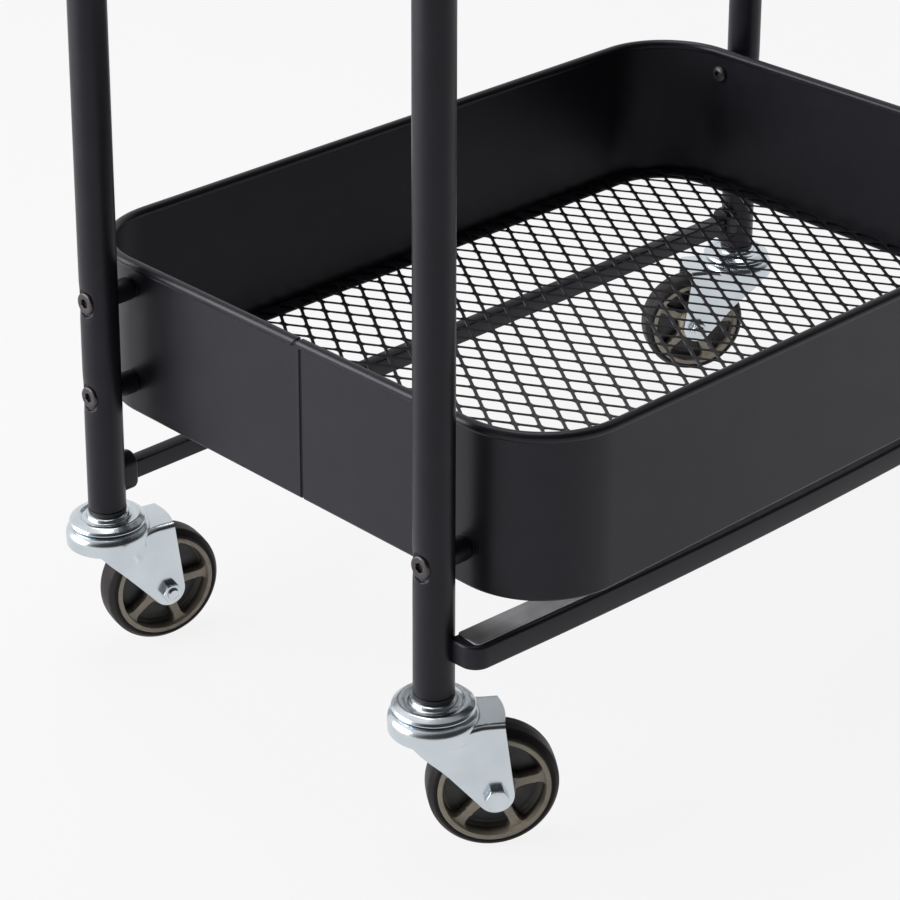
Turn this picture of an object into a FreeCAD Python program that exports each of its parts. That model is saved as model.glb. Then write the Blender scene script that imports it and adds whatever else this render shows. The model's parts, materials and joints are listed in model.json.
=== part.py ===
import FreeCAD, Part
import math
import os

from FreeCAD import Placement, Rotation, Vector
import Sketcher

# Folding kitchen cart. Millimetres, +Z up, X along the long side, +Y towards the push handle.
# The origin is on the floor under the middle of the cart.

doc = FreeCAD.newDocument("FoldingCart")
sheet = doc.addObject("Spreadsheet::Sheet", "Sizes")


class Size:
    """A size as a formula over the sheet's cells, together with its value."""

    def __init__(self, text, value, cells=False):
        self.text = text
        self.value = value
        self.cells = cells

    def joined(self, sign, other, value):
        return Size(f"({self.text} {sign} {other.text})", value, self.cells or other.cells)

    def __add__(self, other):
        other = size(other)
        return self.joined("+", other, self.value + other.value)

    def __sub__(self, other):
        other = size(other)
        return self.joined("-", other, self.value - other.value)

    def __mul__(self, other):
        other = size(other)
        return self.joined("*", other, self.value * other.value)

    def __truediv__(self, other):
        other = size(other)
        return self.joined("/", other, self.value / other.value)

    def __rsub__(self, other):
        return size(other) - self

    def __neg__(self):
        return size(0) - self

    __radd__ = __add__
    __rmul__ = __mul__


def size(number):
    """A plain number as a size, or a size as it is."""
    return number if isinstance(number, Size) else Size(repr(number), float(number))


def root(number):
    """The square root of a size."""
    return Size(f"sqrt({number.text})", math.sqrt(number.value), number.cells)


def cell(name, number):
    """Puts one driving dimension into the sheet and gives it back as a size."""
    row = cell.row = cell.row + 1
    sheet.set(f"A{row}", name)
    sheet.set(f"B{row}", str(number))
    sheet.setAlias(f"B{row}", name)
    return Size(f"Sizes.{name}", float(number), True)


cell.row = 0

# Frame: the posts stand off the trays' short walls, inset from their long walls
post_gap = cell("post_gap", 13)
post_inset = cell("post_inset", 61)
post_dia = cell("post_dia", 25)
post_wall = cell("post_wall", 1.5)
post_base = cell("post_base", 105)
front_post_rise = cell("front_post_rise", 19)
handle_joint_rise = cell("handle_joint_rise", 23)
handle_rise = cell("handle_rise", 121)
handle_bend = cell("handle_bend", 55)
plug_rise = cell("plug_rise", 24)
plug_clearance = cell("plug_clearance", 1)
cap_rise = cell("cap_rise", 5)
cap_plug_length = cell("cap_plug_length", 14)

# Trays: sheet band with a rolled rim, in-turned flange and mesh floor
tray_length = cell("tray_length", 577)
tray_width = cell("tray_width", 433)
tray_height = cell("tray_height", 110)
tray_corner = cell("tray_corner", 60)
tray_sheet = cell("tray_sheet", 1.2)
rim_bead = cell("rim_bead", 7)
floor_flange = cell("floor_flange", 13)
lower_tray_bottom = cell("lower_tray_bottom", 164)
tray_pitch = cell("tray_pitch", 455)
mesh_sheet = cell("mesh_sheet", 2)
mesh_strand = cell("mesh_strand", 3)
mesh_long_way = cell("mesh_long_way", 77.4)
mesh_short_way = cell("mesh_short_way", 43.8)
least_opening = cell("least_opening", 0.2)

# Pivots: the rear one high on the tray's short walls, the front one low
rear_pivot_drop = cell("rear_pivot_drop", 20.5)
front_pivot_rise = cell("front_pivot_rise", 26.5)
spacer_dia = cell("spacer_dia", 15.5)
spacer_chamfer = cell("spacer_chamfer", 1)
screw_dia = cell("screw_dia", 6)
screw_head_dia = cell("screw_head_dia", 14.5)
screw_head_bevel = cell("screw_head_bevel", 1)
nut_head_dia = cell("nut_head_dia", 12.5)
screw_head_rise = cell("screw_head_rise", 3)
barrel_dia = cell("barrel_dia", 8)
barrel_length = cell("barrel_length", 12)
bush_dia = cell("bush_dia", 10)
bush_flange_dia = cell("bush_flange_dia", 14.5)
bush_flange = cell("bush_flange", 0.8)
screw_seat_depth = cell("screw_seat_depth", 2.5)
screw_seat_gap = cell("screw_seat_gap", 0.7)
peg_drop = cell("peg_drop", 66.5)
socket_key = cell("socket_key", 5)
socket_depth = cell("socket_depth", 2)

# Lower bars
rear_bar_width = cell("rear_bar_width", 11)
rear_bar_height = cell("rear_bar_height", 13)
rear_bar_top = cell("rear_bar_top", 131.5)
end_plate = cell("end_plate", 8)
end_plate_width = cell("end_plate_width", 17)
end_plate_height = cell("end_plate_height", 27)
front_bar_depth = cell("front_bar_depth", 22.5)
front_bar_height = cell("front_bar_height", 16)
front_bar_top = cell("front_bar_top", 143.5)
front_bar_reach = cell("front_bar_reach", 10)
front_bar_inset = cell("front_bar_inset", 2)
front_bar_bow = cell("front_bar_bow", 9.5)
front_bar_corner = cell("front_bar_corner", 12)
bar_wall = cell("bar_wall", 1.5)
plate_length = cell("plate_length", 92)
plate_width = cell("plate_width", 18.5)
plate_sheet = cell("plate_sheet", 0.8)
plate_corner = cell("plate_corner", 3)
plate_margin = cell("plate_margin", 5.5)

# Casters: swivel axis on the post axis, wheel trailing behind it
wheel_dia = cell("wheel_dia", 80)
wheel_width = cell("wheel_width", 22)
tread_depth = cell("tread_depth", 5.5)
tread_shoulder = cell("tread_shoulder", 4)
core_ring = cell("core_ring", 3.5)
core_web = cell("core_web", 3)
hub_dia = cell("hub_dia", 25)
spoke_width = cell("spoke_width", 8)
web_recess = cell("web_recess", 3)
caster_trail = cell("caster_trail", 35)
fork_sheet = cell("fork_sheet", 2.5)
fork_gap = cell("fork_gap", 30)
fork_top = cell("fork_top", 88.5)
fork_front = cell("fork_front", 20)
fork_back = cell("fork_back", 40.5)
fork_shoulder = cell("fork_shoulder", 8)
fork_end_radius = cell("fork_end_radius", 9.5)
head_dia = cell("head_dia", 54)
head_height = cell("head_height", 7)
under_race_dia = cell("under_race_dia", 40)
under_race_height = cell("under_race_height", 5)
race_dia = cell("race_dia", 51)
race_dome_dia = cell("race_dome_dia", 46)
race_neck_dia = cell("race_neck_dia", 28)
race_rim = cell("race_rim", 2)
kingpin_dia = cell("kingpin_dia", 12)
rivet_dia = cell("rivet_dia", 20)
rivet_height = cell("rivet_height", 3)
stem_dia = cell("stem_dia", 11)
stem_length = cell("stem_length", 38)
socket_flange = cell("socket_flange", 3)
socket_length = cell("socket_length", 40)
axle_dia = cell("axle_dia", 8)
axle_head_flats = cell("axle_head_flats", 13)
axle_head_height = cell("axle_head_height", 5.3)
axle_nut_height = cell("axle_nut_height", 6.5)
axle_tail = cell("axle_tail", 4)
sleeve_dia = cell("sleeve_dia", 11)
rear_left_angle = cell("rear_left_angle", -14)
rear_right_angle = cell("rear_right_angle", 148)
front_left_angle = cell("front_left_angle", -36)
front_right_angle = cell("front_right_angle", -140)

# Clearances
fit_gap = cell("fit_gap", 0.05)
run_gap = cell("run_gap", 0.3)
head_gap = cell("head_gap", 0.7)

doc.recompute()

# Places worked out from the driving dimensions
post_radius = post_dia / 2
post_bore = post_radius - post_wall
wall_x = tray_length / 2
post_x = wall_x + post_gap + post_radius
post_y = tray_width / 2 - post_inset
upper_rim = lower_tray_bottom + tray_pitch + tray_height
front_post_top = upper_rim + front_post_rise
handle_joint = upper_rim + handle_joint_rise
handle_top = upper_rim + handle_rise
rear_pivot_rise = tray_height - rear_pivot_drop
rear_pivot_z = lower_tray_bottom + rear_pivot_rise
front_pivot_z = lower_tray_bottom + front_pivot_rise
peg_z = rear_pivot_z - peg_drop
wheel_radius = wheel_dia / 2
screw_hole = screw_dia / 2 + fit_gap
screw_seat_dia = screw_head_dia + screw_seat_gap * 2
seat_boss_dia = screw_seat_dia + post_wall * 2
spacer_end = wall_x + bush_flange + run_gap
race_bottom = fork_top - fork_sheet + head_height + run_gap
race_top = post_base - socket_flange
under_race_bottom = fork_top - fork_sheet - under_race_height


def bind(thing, path, formula):
    """Ties one property to a formula over the sheet."""
    thing.setExpression(path, size(formula).text)


def place(thing, x=0, y=0, z=0, rotation=None):
    """Places a sub-part at x, y, z, turned by the rotation."""
    thing.Placement = Placement(Vector(0, 0, 0), rotation or Rotation())
    for axis, formula in zip("xyz", (x, y, z)):
        bind(thing, f"Placement.Base.{axis}", formula)
    return thing


def body(label):
    """An empty body that carries its sub-part's name."""
    made = doc.addObject("PartDesign::Body", label)
    made.Label = label
    return made


def sketch(owner, plane="XY_Plane", lift=0):
    """A sketch on one of the body's own origin planes, lifted along the plane's normal."""
    made = owner.newObject("Sketcher::SketchObject", f"{owner.Name}_sketch")
    support = next(f for f in owner.Origin.OriginFeatures if f.Role == plane)
    made.AttachmentSupport = [(support, "")]
    made.MapMode = "FlatFace"
    bind(made, "AttachmentOffset.Base.z", lift)
    return made


def pin_point(made, shape, end, x, y):
    """Ties one point of a sketch to its two coordinates."""
    for kind, axis, formula in (("DistanceX", -2, size(x)), ("DistanceY", -1, size(y))):
        if not formula.cells and formula.value == 0:
            made.addConstraint(Sketcher.Constraint("PointOnObject", shape, end, axis))
            continue
        index = made.addConstraint(Sketcher.Constraint(kind, -1, 1, shape, end, formula.value))
        if formula.cells:
            made.setExpression(f"Constraints[{index}]", formula.text)


def circle(made, x, y, diameter):
    """A circle of a given diameter."""
    x, y, diameter = size(x), size(y), size(diameter)
    shape = made.addGeometry(
        Part.Circle(Vector(x.value, y.value, 0), Vector(0, 0, 1), diameter.value / 2)
    )
    pin_point(made, shape, 3, x, y)
    index = made.addConstraint(Sketcher.Constraint("Diameter", shape, diameter.value))
    made.setExpression(f"Constraints[{index}]", diameter.text)


def arc_edge(start, end, centre):
    """The arc from start to end about the centre that turns anticlockwise."""
    first = math.atan2(start[1] - centre[1], start[0] - centre[0])
    last = math.atan2(end[1] - centre[1], end[0] - centre[0])
    radius = math.dist(start, centre)
    whole = Part.Circle(Vector(*centre, 0), Vector(0, 0, 1), radius)
    return Part.ArcOfCircle(whole, first, last if last > first else last + 2 * math.pi)


def outline(made, corners):
    """A closed outline. A corner is (x, y), or (x, y, (cx, cy)) where an arc about cx, cy
    leads on to the next corner, with the side given by "left" or "right" turn as fourth entry."""
    spots = [(size(c[0]), size(c[1])) for c in corners]
    shapes = []
    for index, corner in enumerate(corners):
        start, end = spots[index], spots[(index + 1) % len(spots)]
        here, there = ([p.value for p in spot] for spot in (start, end))
        if len(corner) == 2:
            shapes.append((made.addGeometry(Part.LineSegment(Vector(*here, 0), Vector(*there, 0))), 1, 2))
            continue
        centre = [size(c).value for c in corner[2]]
        left = corner[3] == "left"
        edge = arc_edge(here, there, centre) if left else arc_edge(there, here, centre)
        shapes.append((made.addGeometry(edge), 1, 2) if left else (made.addGeometry(edge), 2, 1))
    for index, (shape, first, last) in enumerate(shapes):
        follower, follower_first, _ = shapes[(index + 1) % len(shapes)]
        made.addConstraint(Sketcher.Constraint("Coincident", shape, last, follower, follower_first))
    for (shape, first, _), spot in zip(shapes, spots):
        pin_point(made, shape, first, *spot)
    for index, corner in enumerate(corners):
        if len(corner) == 2:
            continue
        here, there = spots[index], spots[(index + 1) % len(spots)]
        upright = abs(there[1].value - here[1].value) > abs(there[0].value - here[0].value)
        formula = size(corner[2][0 if upright else 1])
        kind = "DistanceX" if upright else "DistanceY"
        shape = shapes[index][0]
        number = made.addConstraint(Sketcher.Constraint(kind, -1, 1, shape, 3, formula.value))
        if formula.cells:
            made.setExpression(f"Constraints[{number}]", formula.text)


def rounded(made, half_x, half_y, radius):
    """A rectangle about the origin with round corners."""
    flat_x, flat_y = half_x - radius, half_y - radius
    outline(made, [
        (-flat_x, -half_y),
        (flat_x, -half_y, (flat_x, -flat_y), "left"),
        (half_x, -flat_y),
        (half_x, flat_y, (flat_x, flat_y), "left"),
        (flat_x, half_y),
        (-flat_x, half_y, (-flat_x, flat_y), "left"),
        (-half_x, flat_y),
        (-half_x, -flat_y, (-flat_x, -flat_y), "left"),
    ])


def pad(owner, made, length, symmetric=False):
    """Adds a prism of the sketch."""
    feature = owner.newObject("PartDesign::Pad", f"{owner.Name}_pad")
    feature.Profile = made
    feature.SideType = "Symmetric" if symmetric else "One side"
    bind(feature, "Length", length)
    return feature


def pocket(owner, made, length=None, reverse=False):
    """Cuts the sketch: right through both ways, or to a depth."""
    feature = owner.newObject("PartDesign::Pocket", f"{owner.Name}_pocket")
    feature.Profile = made
    if length is None:
        feature.SideType = "Symmetric"
        feature.Type = "ThroughAll"
    else:
        feature.Reversed = reverse
        bind(feature, "Length", length)
    return feature


def turned(label, corners):
    """A body turned about its own Z axis from a profile of (radius, height) corners."""
    owner = body(label)
    made = sketch(owner, "XZ_Plane")
    outline(made, corners)
    feature = owner.newObject("PartDesign::Revolution", f"{label}_turn")
    feature.Profile = made
    feature.ReferenceAxis = (made, ["V_Axis"])
    feature.Angle = 360
    return owner


def mirrored(source, label):
    """The same piece on the other side of the cart's middle plane."""
    made = doc.addObject("Part::Mirroring", label)
    made.Label = label
    made.Source = source
    made.Normal = Vector(1, 0, 0)
    return made


nodes = []


def node(thing, label=None):
    """Counts a sub-part in."""
    if label:
        thing.Label = label
    nodes.append(thing)
    return thing


def group(label, things):
    """Separate solids that share one name."""
    made = doc.addObject("Part::Compound", label)
    made.Label = label
    made.Links = things
    return node(made)


def both_sides(label, lefts):
    """A group of left-hand pieces and their mirrored right-hand twins."""
    return group(label, lefts + [mirrored(left, f"{left.Label}_twin") for left in lefts])


left_hand = Rotation(Vector(0, 1, 0), -90)
tray_lifts = {"lower": size(0), "upper": tray_pitch}


# Posts and what closes or joins their ends
def post(label, y, top, hole_heights):
    """A round tube with a cross hole and a pressed-in seat for each screw.

    A seat is a cup as thick as the tube: a boss inside the tube, cut back to the tube's
    round outside and then sunk to the seat."""
    owner = body(label)
    made = sketch(owner)
    circle(made, 0, 0, post_dia)
    circle(made, 0, 0, post_bore * 2)
    pad(owner, made, top - post_base)
    seat = post_radius - screw_seat_depth
    bosses = sketch(owner, "YZ_Plane", post_wall - seat)
    for height in hole_heights:
        circle(bosses, 0, height - post_base, seat_boss_dia)
    pad(owner, bosses, screw_seat_depth + post_wall).Reversed = True
    outside = sketch(owner)
    circle(outside, 0, 0, post_dia)
    circle(outside, 0, 0, post_dia * 2)
    pocket(owner, outside)
    seats = sketch(owner, "YZ_Plane", -seat)
    for height in hole_heights:
        circle(seats, 0, height - post_base, screw_seat_dia)
    pocket(owner, seats, screw_seat_depth)
    cross = sketch(owner, "YZ_Plane")
    for height in hole_heights:
        circle(cross, 0, height - post_base, screw_hole * 2)
    pocket(owner, cross)
    return place(owner, -post_x, y, post_base)


rear_heights = [z + lift for lift in tray_lifts.values() for z in (rear_pivot_z, peg_z)]
front_heights = [front_pivot_z + lift for lift in tray_lifts.values()]
rear_left_post = node(post("rear_left_post", post_y, handle_joint, rear_heights))
node(mirrored(rear_left_post, "rear_right_post"))
front_left_post = node(post("front_left_post", -post_y, front_post_top, front_heights))
node(mirrored(front_left_post, "front_right_post"))


def handle():
    """A tube bent twice, which stands on the rear posts."""
    owner = body("push_handle")
    rail = handle_top - post_radius
    path = sketch(owner, "XZ_Plane")
    run = [(-post_x, handle_joint), (-post_x, rail - handle_bend), (handle_bend - post_x, rail)]
    run += [(-x, z) for x, z in reversed(run)]
    ends = [[p.value for p in spot] for spot in run]
    centres = {1: (handle_bend - post_x, rail - handle_bend), 3: (post_x - handle_bend, rail - handle_bend)}
    shapes = []
    for index in range(5):
        here, there = ends[index], ends[index + 1]
        if index in centres:
            centre = [c.value for c in centres[index]]
            shapes.append((path.addGeometry(arc_edge(there, here, centre)), 2, 1))
        else:
            line = Part.LineSegment(Vector(*here, 0), Vector(*there, 0))
            shapes.append((path.addGeometry(line), 1, 2))
    for (one, _, last), (two, first, _) in zip(shapes, shapes[1:]):
        path.addConstraint(Sketcher.Constraint("Coincident", one, last, two, first))
    for (shape, first, _), spot in zip(shapes, run):
        pin_point(path, shape, first, *spot)
    pin_point(path, shapes[-1][0], 2, *run[-1])
    for index, centre in centres.items():
        number = path.addConstraint(
            Sketcher.Constraint("DistanceY", -1, 1, shapes[index][0], 3, centre[1].value)
        )
        path.setExpression(f"Constraints[{number}]", centre[1].text)
    ring = sketch(owner, "XY_Plane", handle_joint)
    circle(ring, -post_x, 0, post_dia)
    circle(ring, -post_x, 0, post_bore * 2)
    feature = owner.newObject("PartDesign::AdditivePipe", "push_handle_bend")
    feature.Profile = ring
    feature.Spine = (path, [])
    return place(owner, 0, post_y, 0)


node(handle())

# The plug joins post and handle between the upper tray's pivot screw and the handle's bend
plug_bottom = rear_pivot_z + tray_pitch + seat_boss_dia / 2 + plug_clearance
plug_top = handle_joint + plug_rise
plug = turned("handle_plug", [
    (0, plug_bottom),
    (post_bore - fit_gap, plug_bottom),
    (post_bore - fit_gap, plug_top),
    (0, plug_top),
])
both_sides("handle_plugs", [place(plug, -post_x, post_y)])

cap = turned("post_cap", [
    (0, -cap_plug_length),
    (post_bore - fit_gap, -cap_plug_length),
    (post_bore - fit_gap, 0),
    (post_radius, 0),
    (post_radius, cap_rise / 3),
    (0, cap_rise),
])
both_sides("front_post_caps", [place(cap, -post_x, -post_y, front_post_top)])


# Pivot screws, spacers, nuts and pegs. Their own Z axis points from the tray to the post.
def flat_screw(label, length):
    """A flat-head screw: the head's seat is at height 0 and the shank runs down from it."""
    owner = turned(label, [
        (0, -length),
        (screw_dia / 2, -length),
        (screw_dia / 2, 0),
        (screw_head_dia / 2, 0),
        (screw_head_dia / 2, screw_head_rise - screw_head_bevel),
        (screw_head_dia / 2 - screw_head_bevel, screw_head_rise),
        (0, screw_head_rise),
    ])
    key = sketch(owner, "XY_Plane", screw_head_rise)
    hexagon(key, socket_key)
    pocket(owner, key, socket_depth)
    return owner


def hexagon(made, flats):
    """A hexagon of a given width across flats."""
    outline(made, [
        (flats / math.sqrt(3) * math.cos(math.pi * k / 3), flats / math.sqrt(3) * math.sin(math.pi * k / 3))
        for k in range(6)
    ])


def coped(owner, distance):
    """Cuts the end of a turned piece to the round of the post."""
    made = sketch(owner, "YZ_Plane")
    circle(made, 0, distance, post_dia + fit_gap * 2)
    pocket(owner, made)
    return owner


def spacer(label, bore, run):
    """A round spacer that runs up to the post's axis and is cut to the post's round."""
    owner = turned(label, [
        (bore, 0),
        (spacer_dia / 2 - spacer_chamfer, 0),
        (spacer_dia / 2, spacer_chamfer),
        (spacer_dia / 2, run),
        (bore, run),
    ])
    return coped(owner, run)


def barrel_nut(label):
    """A barrel nut: button head inside the tray, barrel through the bush and into the spacer."""
    head = nut_head_dia / 2
    owner = turned(label, [
        (0, -head_gap - screw_head_rise),
        (head / 2, -head_gap - screw_head_rise),
        (head, -head_gap - screw_head_rise / 3),
        (head, -head_gap),
        (barrel_dia / 2, -head_gap),
        (barrel_dia / 2, barrel_length),
        (screw_hole, barrel_length),
        (screw_hole, barrel_length / 3),
        (0, barrel_length / 3),
    ])
    key = sketch(owner, "XY_Plane", -head_gap - screw_head_rise)
    hexagon(key, socket_key)
    pocket(owner, key, socket_depth, reverse=True)
    return owner


# Each head sits in a seat of the post, and its screw ends inside the barrel or the peg
screw_seat = post_x + post_radius - screw_seat_depth
screw_reach = screw_seat - wall_x + tray_sheet - barrel_length / 3 - run_gap * 2
peg_end = wall_x + run_gap
peg_reach = post_dia - screw_seat_depth + (post_x - post_radius - peg_end) / 2

for frame_name, y, height in (("rear", post_y, rear_pivot_z), ("front", -post_y, front_pivot_z)):
    spacers, screws, nuts = [], [], []
    for tray, lift in tray_lifts.items():
        name = f"{tray}_{frame_name}"
        z = height + lift
        one = spacer(f"{name}_spacer", barrel_dia / 2 + fit_gap, post_x - spacer_end)
        spacers.append(place(one, -spacer_end, y, z, left_hand))
        one = flat_screw(f"{name}_screw", screw_reach)
        screws.append(place(one, -screw_seat, y, z, left_hand))
        one = barrel_nut(f"{name}_nut")
        nuts.append(place(one, tray_sheet - wall_x, y, z, left_hand))
    both_sides(f"{frame_name}_pivot_spacers", spacers)
    both_sides(f"{frame_name}_pivot_screws", screws)
    both_sides(f"{frame_name}_pivot_nuts", nuts)

pegs, peg_screws = [], []
for tray, lift in tray_lifts.items():
    one = spacer(f"{tray}_peg", screw_hole, post_x - peg_end)
    pegs.append(place(one, -peg_end, post_y, peg_z + lift, left_hand))
    one = flat_screw(f"{tray}_peg_screw", peg_reach)
    peg_screws.append(place(one, -screw_seat, post_y, peg_z + lift, left_hand))
both_sides("steady_pegs", pegs)
both_sides("steady_peg_screws", peg_screws)


# Lower bars
def rear_bar():
    """A small square tube between the rear posts' end plates."""
    owner = body("rear_bar")
    made = sketch(owner, "YZ_Plane")
    for width, height in ((rear_bar_width, rear_bar_height),
                          (rear_bar_width - bar_wall * 2, rear_bar_height - bar_wall * 2)):
        rectangle(made, width, height)
    pad(owner, made, (post_x - post_radius - end_plate) * 2, symmetric=True)
    return place(owner, 0, post_y, rear_bar_top - rear_bar_height / 2)


def rectangle(made, width, height):
    """A rectangle about the origin."""
    outline(made, [
        (-width / 2, -height / 2),
        (width / 2, -height / 2),
        (width / 2, height / 2),
        (-width / 2, height / 2),
    ])


def bar_end_plate():
    """A plate with round ends that carries the rear bar, cut to the post's round."""
    owner = body("rear_bar_end_plate")
    made = sketch(owner, "YZ_Plane")
    flat = end_plate_height / 2 - end_plate_width / 2
    half = end_plate_width / 2
    outline(made, [
        (half, -flat),
        (half, flat, (0, flat), "left"),
        (-half, flat),
        (-half, -flat, (0, -flat), "left"),
    ])
    pad(owner, made, end_plate + post_radius)
    round_cut = sketch(owner)
    circle(round_cut, 0, 0, post_dia + fit_gap * 2)
    pocket(owner, round_cut)
    return place(owner, -post_x, post_y, rear_bar_top - rear_bar_height / 2)


node(rear_bar())
both_sides("rear_bar_end_plates", [bar_end_plate()])


def front_bar():
    """A flat bar in front of the front posts, bowed forwards, with round front corners."""
    owner = body("front_bar")
    end_x = post_x - front_bar_inset
    front = front_bar_reach + front_bar_depth
    corner = front_bar_corner
    # The bow's arc passes the bar's ends and its middle: radius = (half span^2 + bow^2) / (2 bow)
    half = end_x - corner
    back_radius = (end_x * end_x + front_bar_bow * front_bar_bow) / (front_bar_bow * 2)
    front_radius = (half * half + front_bar_bow * front_bar_bow) / (front_bar_bow * 2)
    made = sketch(owner)
    outline(made, [
        (end_x, -front_bar_reach, (0, back_radius - front_bar_reach - front_bar_bow), "right"),
        (-end_x, -front_bar_reach),
        (-end_x, corner - front, (corner - end_x, corner - front), "left"),
        (corner - end_x, -front, (0, front_radius - front - front_bar_bow), "left"),
        (end_x - corner, -front, (end_x - corner, corner - front), "left"),
        (end_x, corner - front),
    ])
    pad(owner, made, front_bar_height)
    for side in (-1, 1):
        cope = sketch(owner)
        circle(cope, post_x * side, 0, post_dia + fit_gap * 2)
        pocket(owner, cope)
    return place(owner, 0, -post_y, front_bar_top - front_bar_height)


# The plate follows the bar's bow: its turn about Z in degrees
PLATE_TURN = -3.1


def bar_plate():
    """The bare metal plate on the front bar."""
    owner = body("bar_plate")
    made = sketch(owner)
    rounded(made, plate_length / 2, plate_width / 2, plate_corner)
    pad(owner, made, plate_sheet)
    x = plate_margin + front_bar_inset + plate_length / 2 - post_x
    y = -post_y - front_bar_reach - front_bar_depth / 2 - front_bar_bow / 9
    return place(owner, x, y, front_bar_top, Rotation(Vector(0, 0, 1), PLATE_TURN))


node(front_bar())
node(bar_plate())


# Trays
def tray_wall(label, bottom):
    """The band: wall, in-turned flange and rolled rim as one section led round the corners."""
    owner = body(label)
    half_y = tray_width / 2
    path = sketch(owner)
    rounded(path, tray_length / 2, half_y, tray_corner)
    section = sketch(owner, "YZ_Plane")
    inner = half_y - tray_sheet
    bead = rim_bead / 2
    middle = half_y - tray_sheet / 2
    top = tray_height - bead
    # The wall meets the round bead where its two faces cut the circle
    join = top - root(bead * bead - tray_sheet * tray_sheet / 4)
    outline(section, [
        (inner - floor_flange, 0),
        (half_y, 0),
        (half_y, join, (middle, top), "left"),
        (inner, join),
        (inner, tray_sheet),
        (inner - floor_flange, tray_sheet),
    ])
    feature = owner.newObject("PartDesign::AdditivePipe", f"{label}_band")
    feature.Profile = section
    feature.Spine = (path, [])
    holes = sketch(owner, "YZ_Plane")
    circle(holes, post_y, rear_pivot_rise, bush_dia + fit_gap * 2)
    circle(holes, -post_y, front_pivot_rise, bush_dia + fit_gap * 2)
    pocket(owner, holes)
    return place(owner, 0, 0, bottom)


def round_rectangle(half_x, half_y, radius):
    """A flat face with round corners, about the origin."""
    block = Part.makeBox(half_x * 2, half_y * 2, 1, Vector(-half_x, -half_y, 0))
    uprights = [e for e in block.Edges if abs(e.tangentAt(e.FirstParameter).z) > 0.5]
    block = block.makeFillet(radius, uprights)
    return next(f for f in block.Faces if f.CenterOfMass.z < 0.01)


def tray_mesh(label, bottom):
    """The diamond mesh floor as one holed sheet: openings end at the ring that lies on the flange."""
    inset = tray_sheet.value + run_gap.value
    half_x = tray_length.value / 2 - inset
    half_y = tray_width.value / 2 - inset
    corner = tray_corner.value - inset
    ring = floor_flange.value
    free = round_rectangle(half_x - ring, half_y - ring, corner - ring)
    long_way, short_way = mesh_long_way.value, mesh_short_way.value
    # A strand of width s between diamonds of side l takes s / 2 off each side
    side = math.hypot(long_way, short_way) / 2
    keep = 1 - mesh_strand.value * side * 2 / (long_way * short_way)
    long_half, short_half = long_way / 2 * keep, short_way / 2 * keep
    columns = int(half_x / short_way * 2) + 1
    rows = int(half_y / long_way * 2) + 1
    least = long_half * short_half * least_opening.value
    openings = []
    for column in range(-columns, columns + 1):
        for row in range(-rows, rows + 1):
            if (column + row) % 2:
                continue
            x, y = column * short_way / 2, row * long_way / 2
            tips = [(x + short_half, y), (x, y + long_half), (x - short_half, y), (x, y - long_half)]
            points = [Vector(*tip, 0) for tip in tips]
            diamond = Part.Face(Part.makePolygon(points + points[:1]))
            openings += [f for f in diamond.common(free).Faces if f.Area > least]
    sheet_face = round_rectangle(half_x, half_y, corner)
    net = Part.makeFace([sheet_face.OuterWire] + [f.OuterWire for f in openings], "Part::FaceMakerBullseye")
    made = doc.addObject("Part::Feature", label)
    made.Label = label
    made.Shape = net.extrude(Vector(0, 0, mesh_sheet.value))
    made.Placement = Placement(Vector(0, 0, bottom.value + tray_sheet.value), Rotation())
    return made


def bush(label):
    """A flanged bush in the tray's wall: the flange lies outside, against the spacer."""
    bore = barrel_dia / 2 + fit_gap
    return turned(label, [
        (bore, -tray_sheet),
        (bush_dia / 2, -tray_sheet),
        (bush_dia / 2, 0),
        (bush_flange_dia / 2, 0),
        (bush_flange_dia / 2, bush_flange),
        (bore, bush_flange),
    ])


for tray, lift in tray_lifts.items():
    bottom = lower_tray_bottom + lift
    node(tray_wall(f"{tray}_tray_wall", bottom))
    node(tray_mesh(f"{tray}_tray_mesh", bottom))
    rear = place(bush(f"{tray}_rear_bush"), -wall_x, post_y, rear_pivot_z + lift, left_hand)
    front = place(bush(f"{tray}_front_bush"), -wall_x, -post_y, front_pivot_z + lift, left_hand)
    both_sides(f"{tray}_tray_bushes", [rear, front])


# Casters. Each is drawn about its swivel axis, trailing along its own X axis.
def stem_socket(label):
    """The plastic socket in the post's end, with its flange below the tube."""
    return turned(label, [
        (stem_dia / 2 + fit_gap, -socket_flange),
        (post_radius, -socket_flange),
        (post_radius, 0),
        (post_bore - fit_gap, 0),
        (post_bore - fit_gap, socket_length),
        (stem_dia / 2 + fit_gap, socket_length),
    ])


def caster_stem(label):
    """Stem, domed upper race, kingpin and its riveted end, in one turned piece."""
    pin = kingpin_dia / 2
    rivet = under_race_bottom - run_gap
    return turned(label, [
        (0, rivet - rivet_height),
        (rivet_dia / 2, rivet - rivet_height),
        (rivet_dia / 2, rivet),
        (pin, rivet),
        (pin, race_bottom),
        (race_dia / 2, race_bottom),
        (race_dia / 2, race_bottom + race_rim),
        (race_dome_dia / 2, (race_bottom + race_rim + race_top) / 2),
        (race_neck_dia / 2, race_top),
        (stem_dia / 2, race_top),
        (stem_dia / 2, race_top + stem_length),
        (0, race_top + stem_length),
    ])


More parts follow.
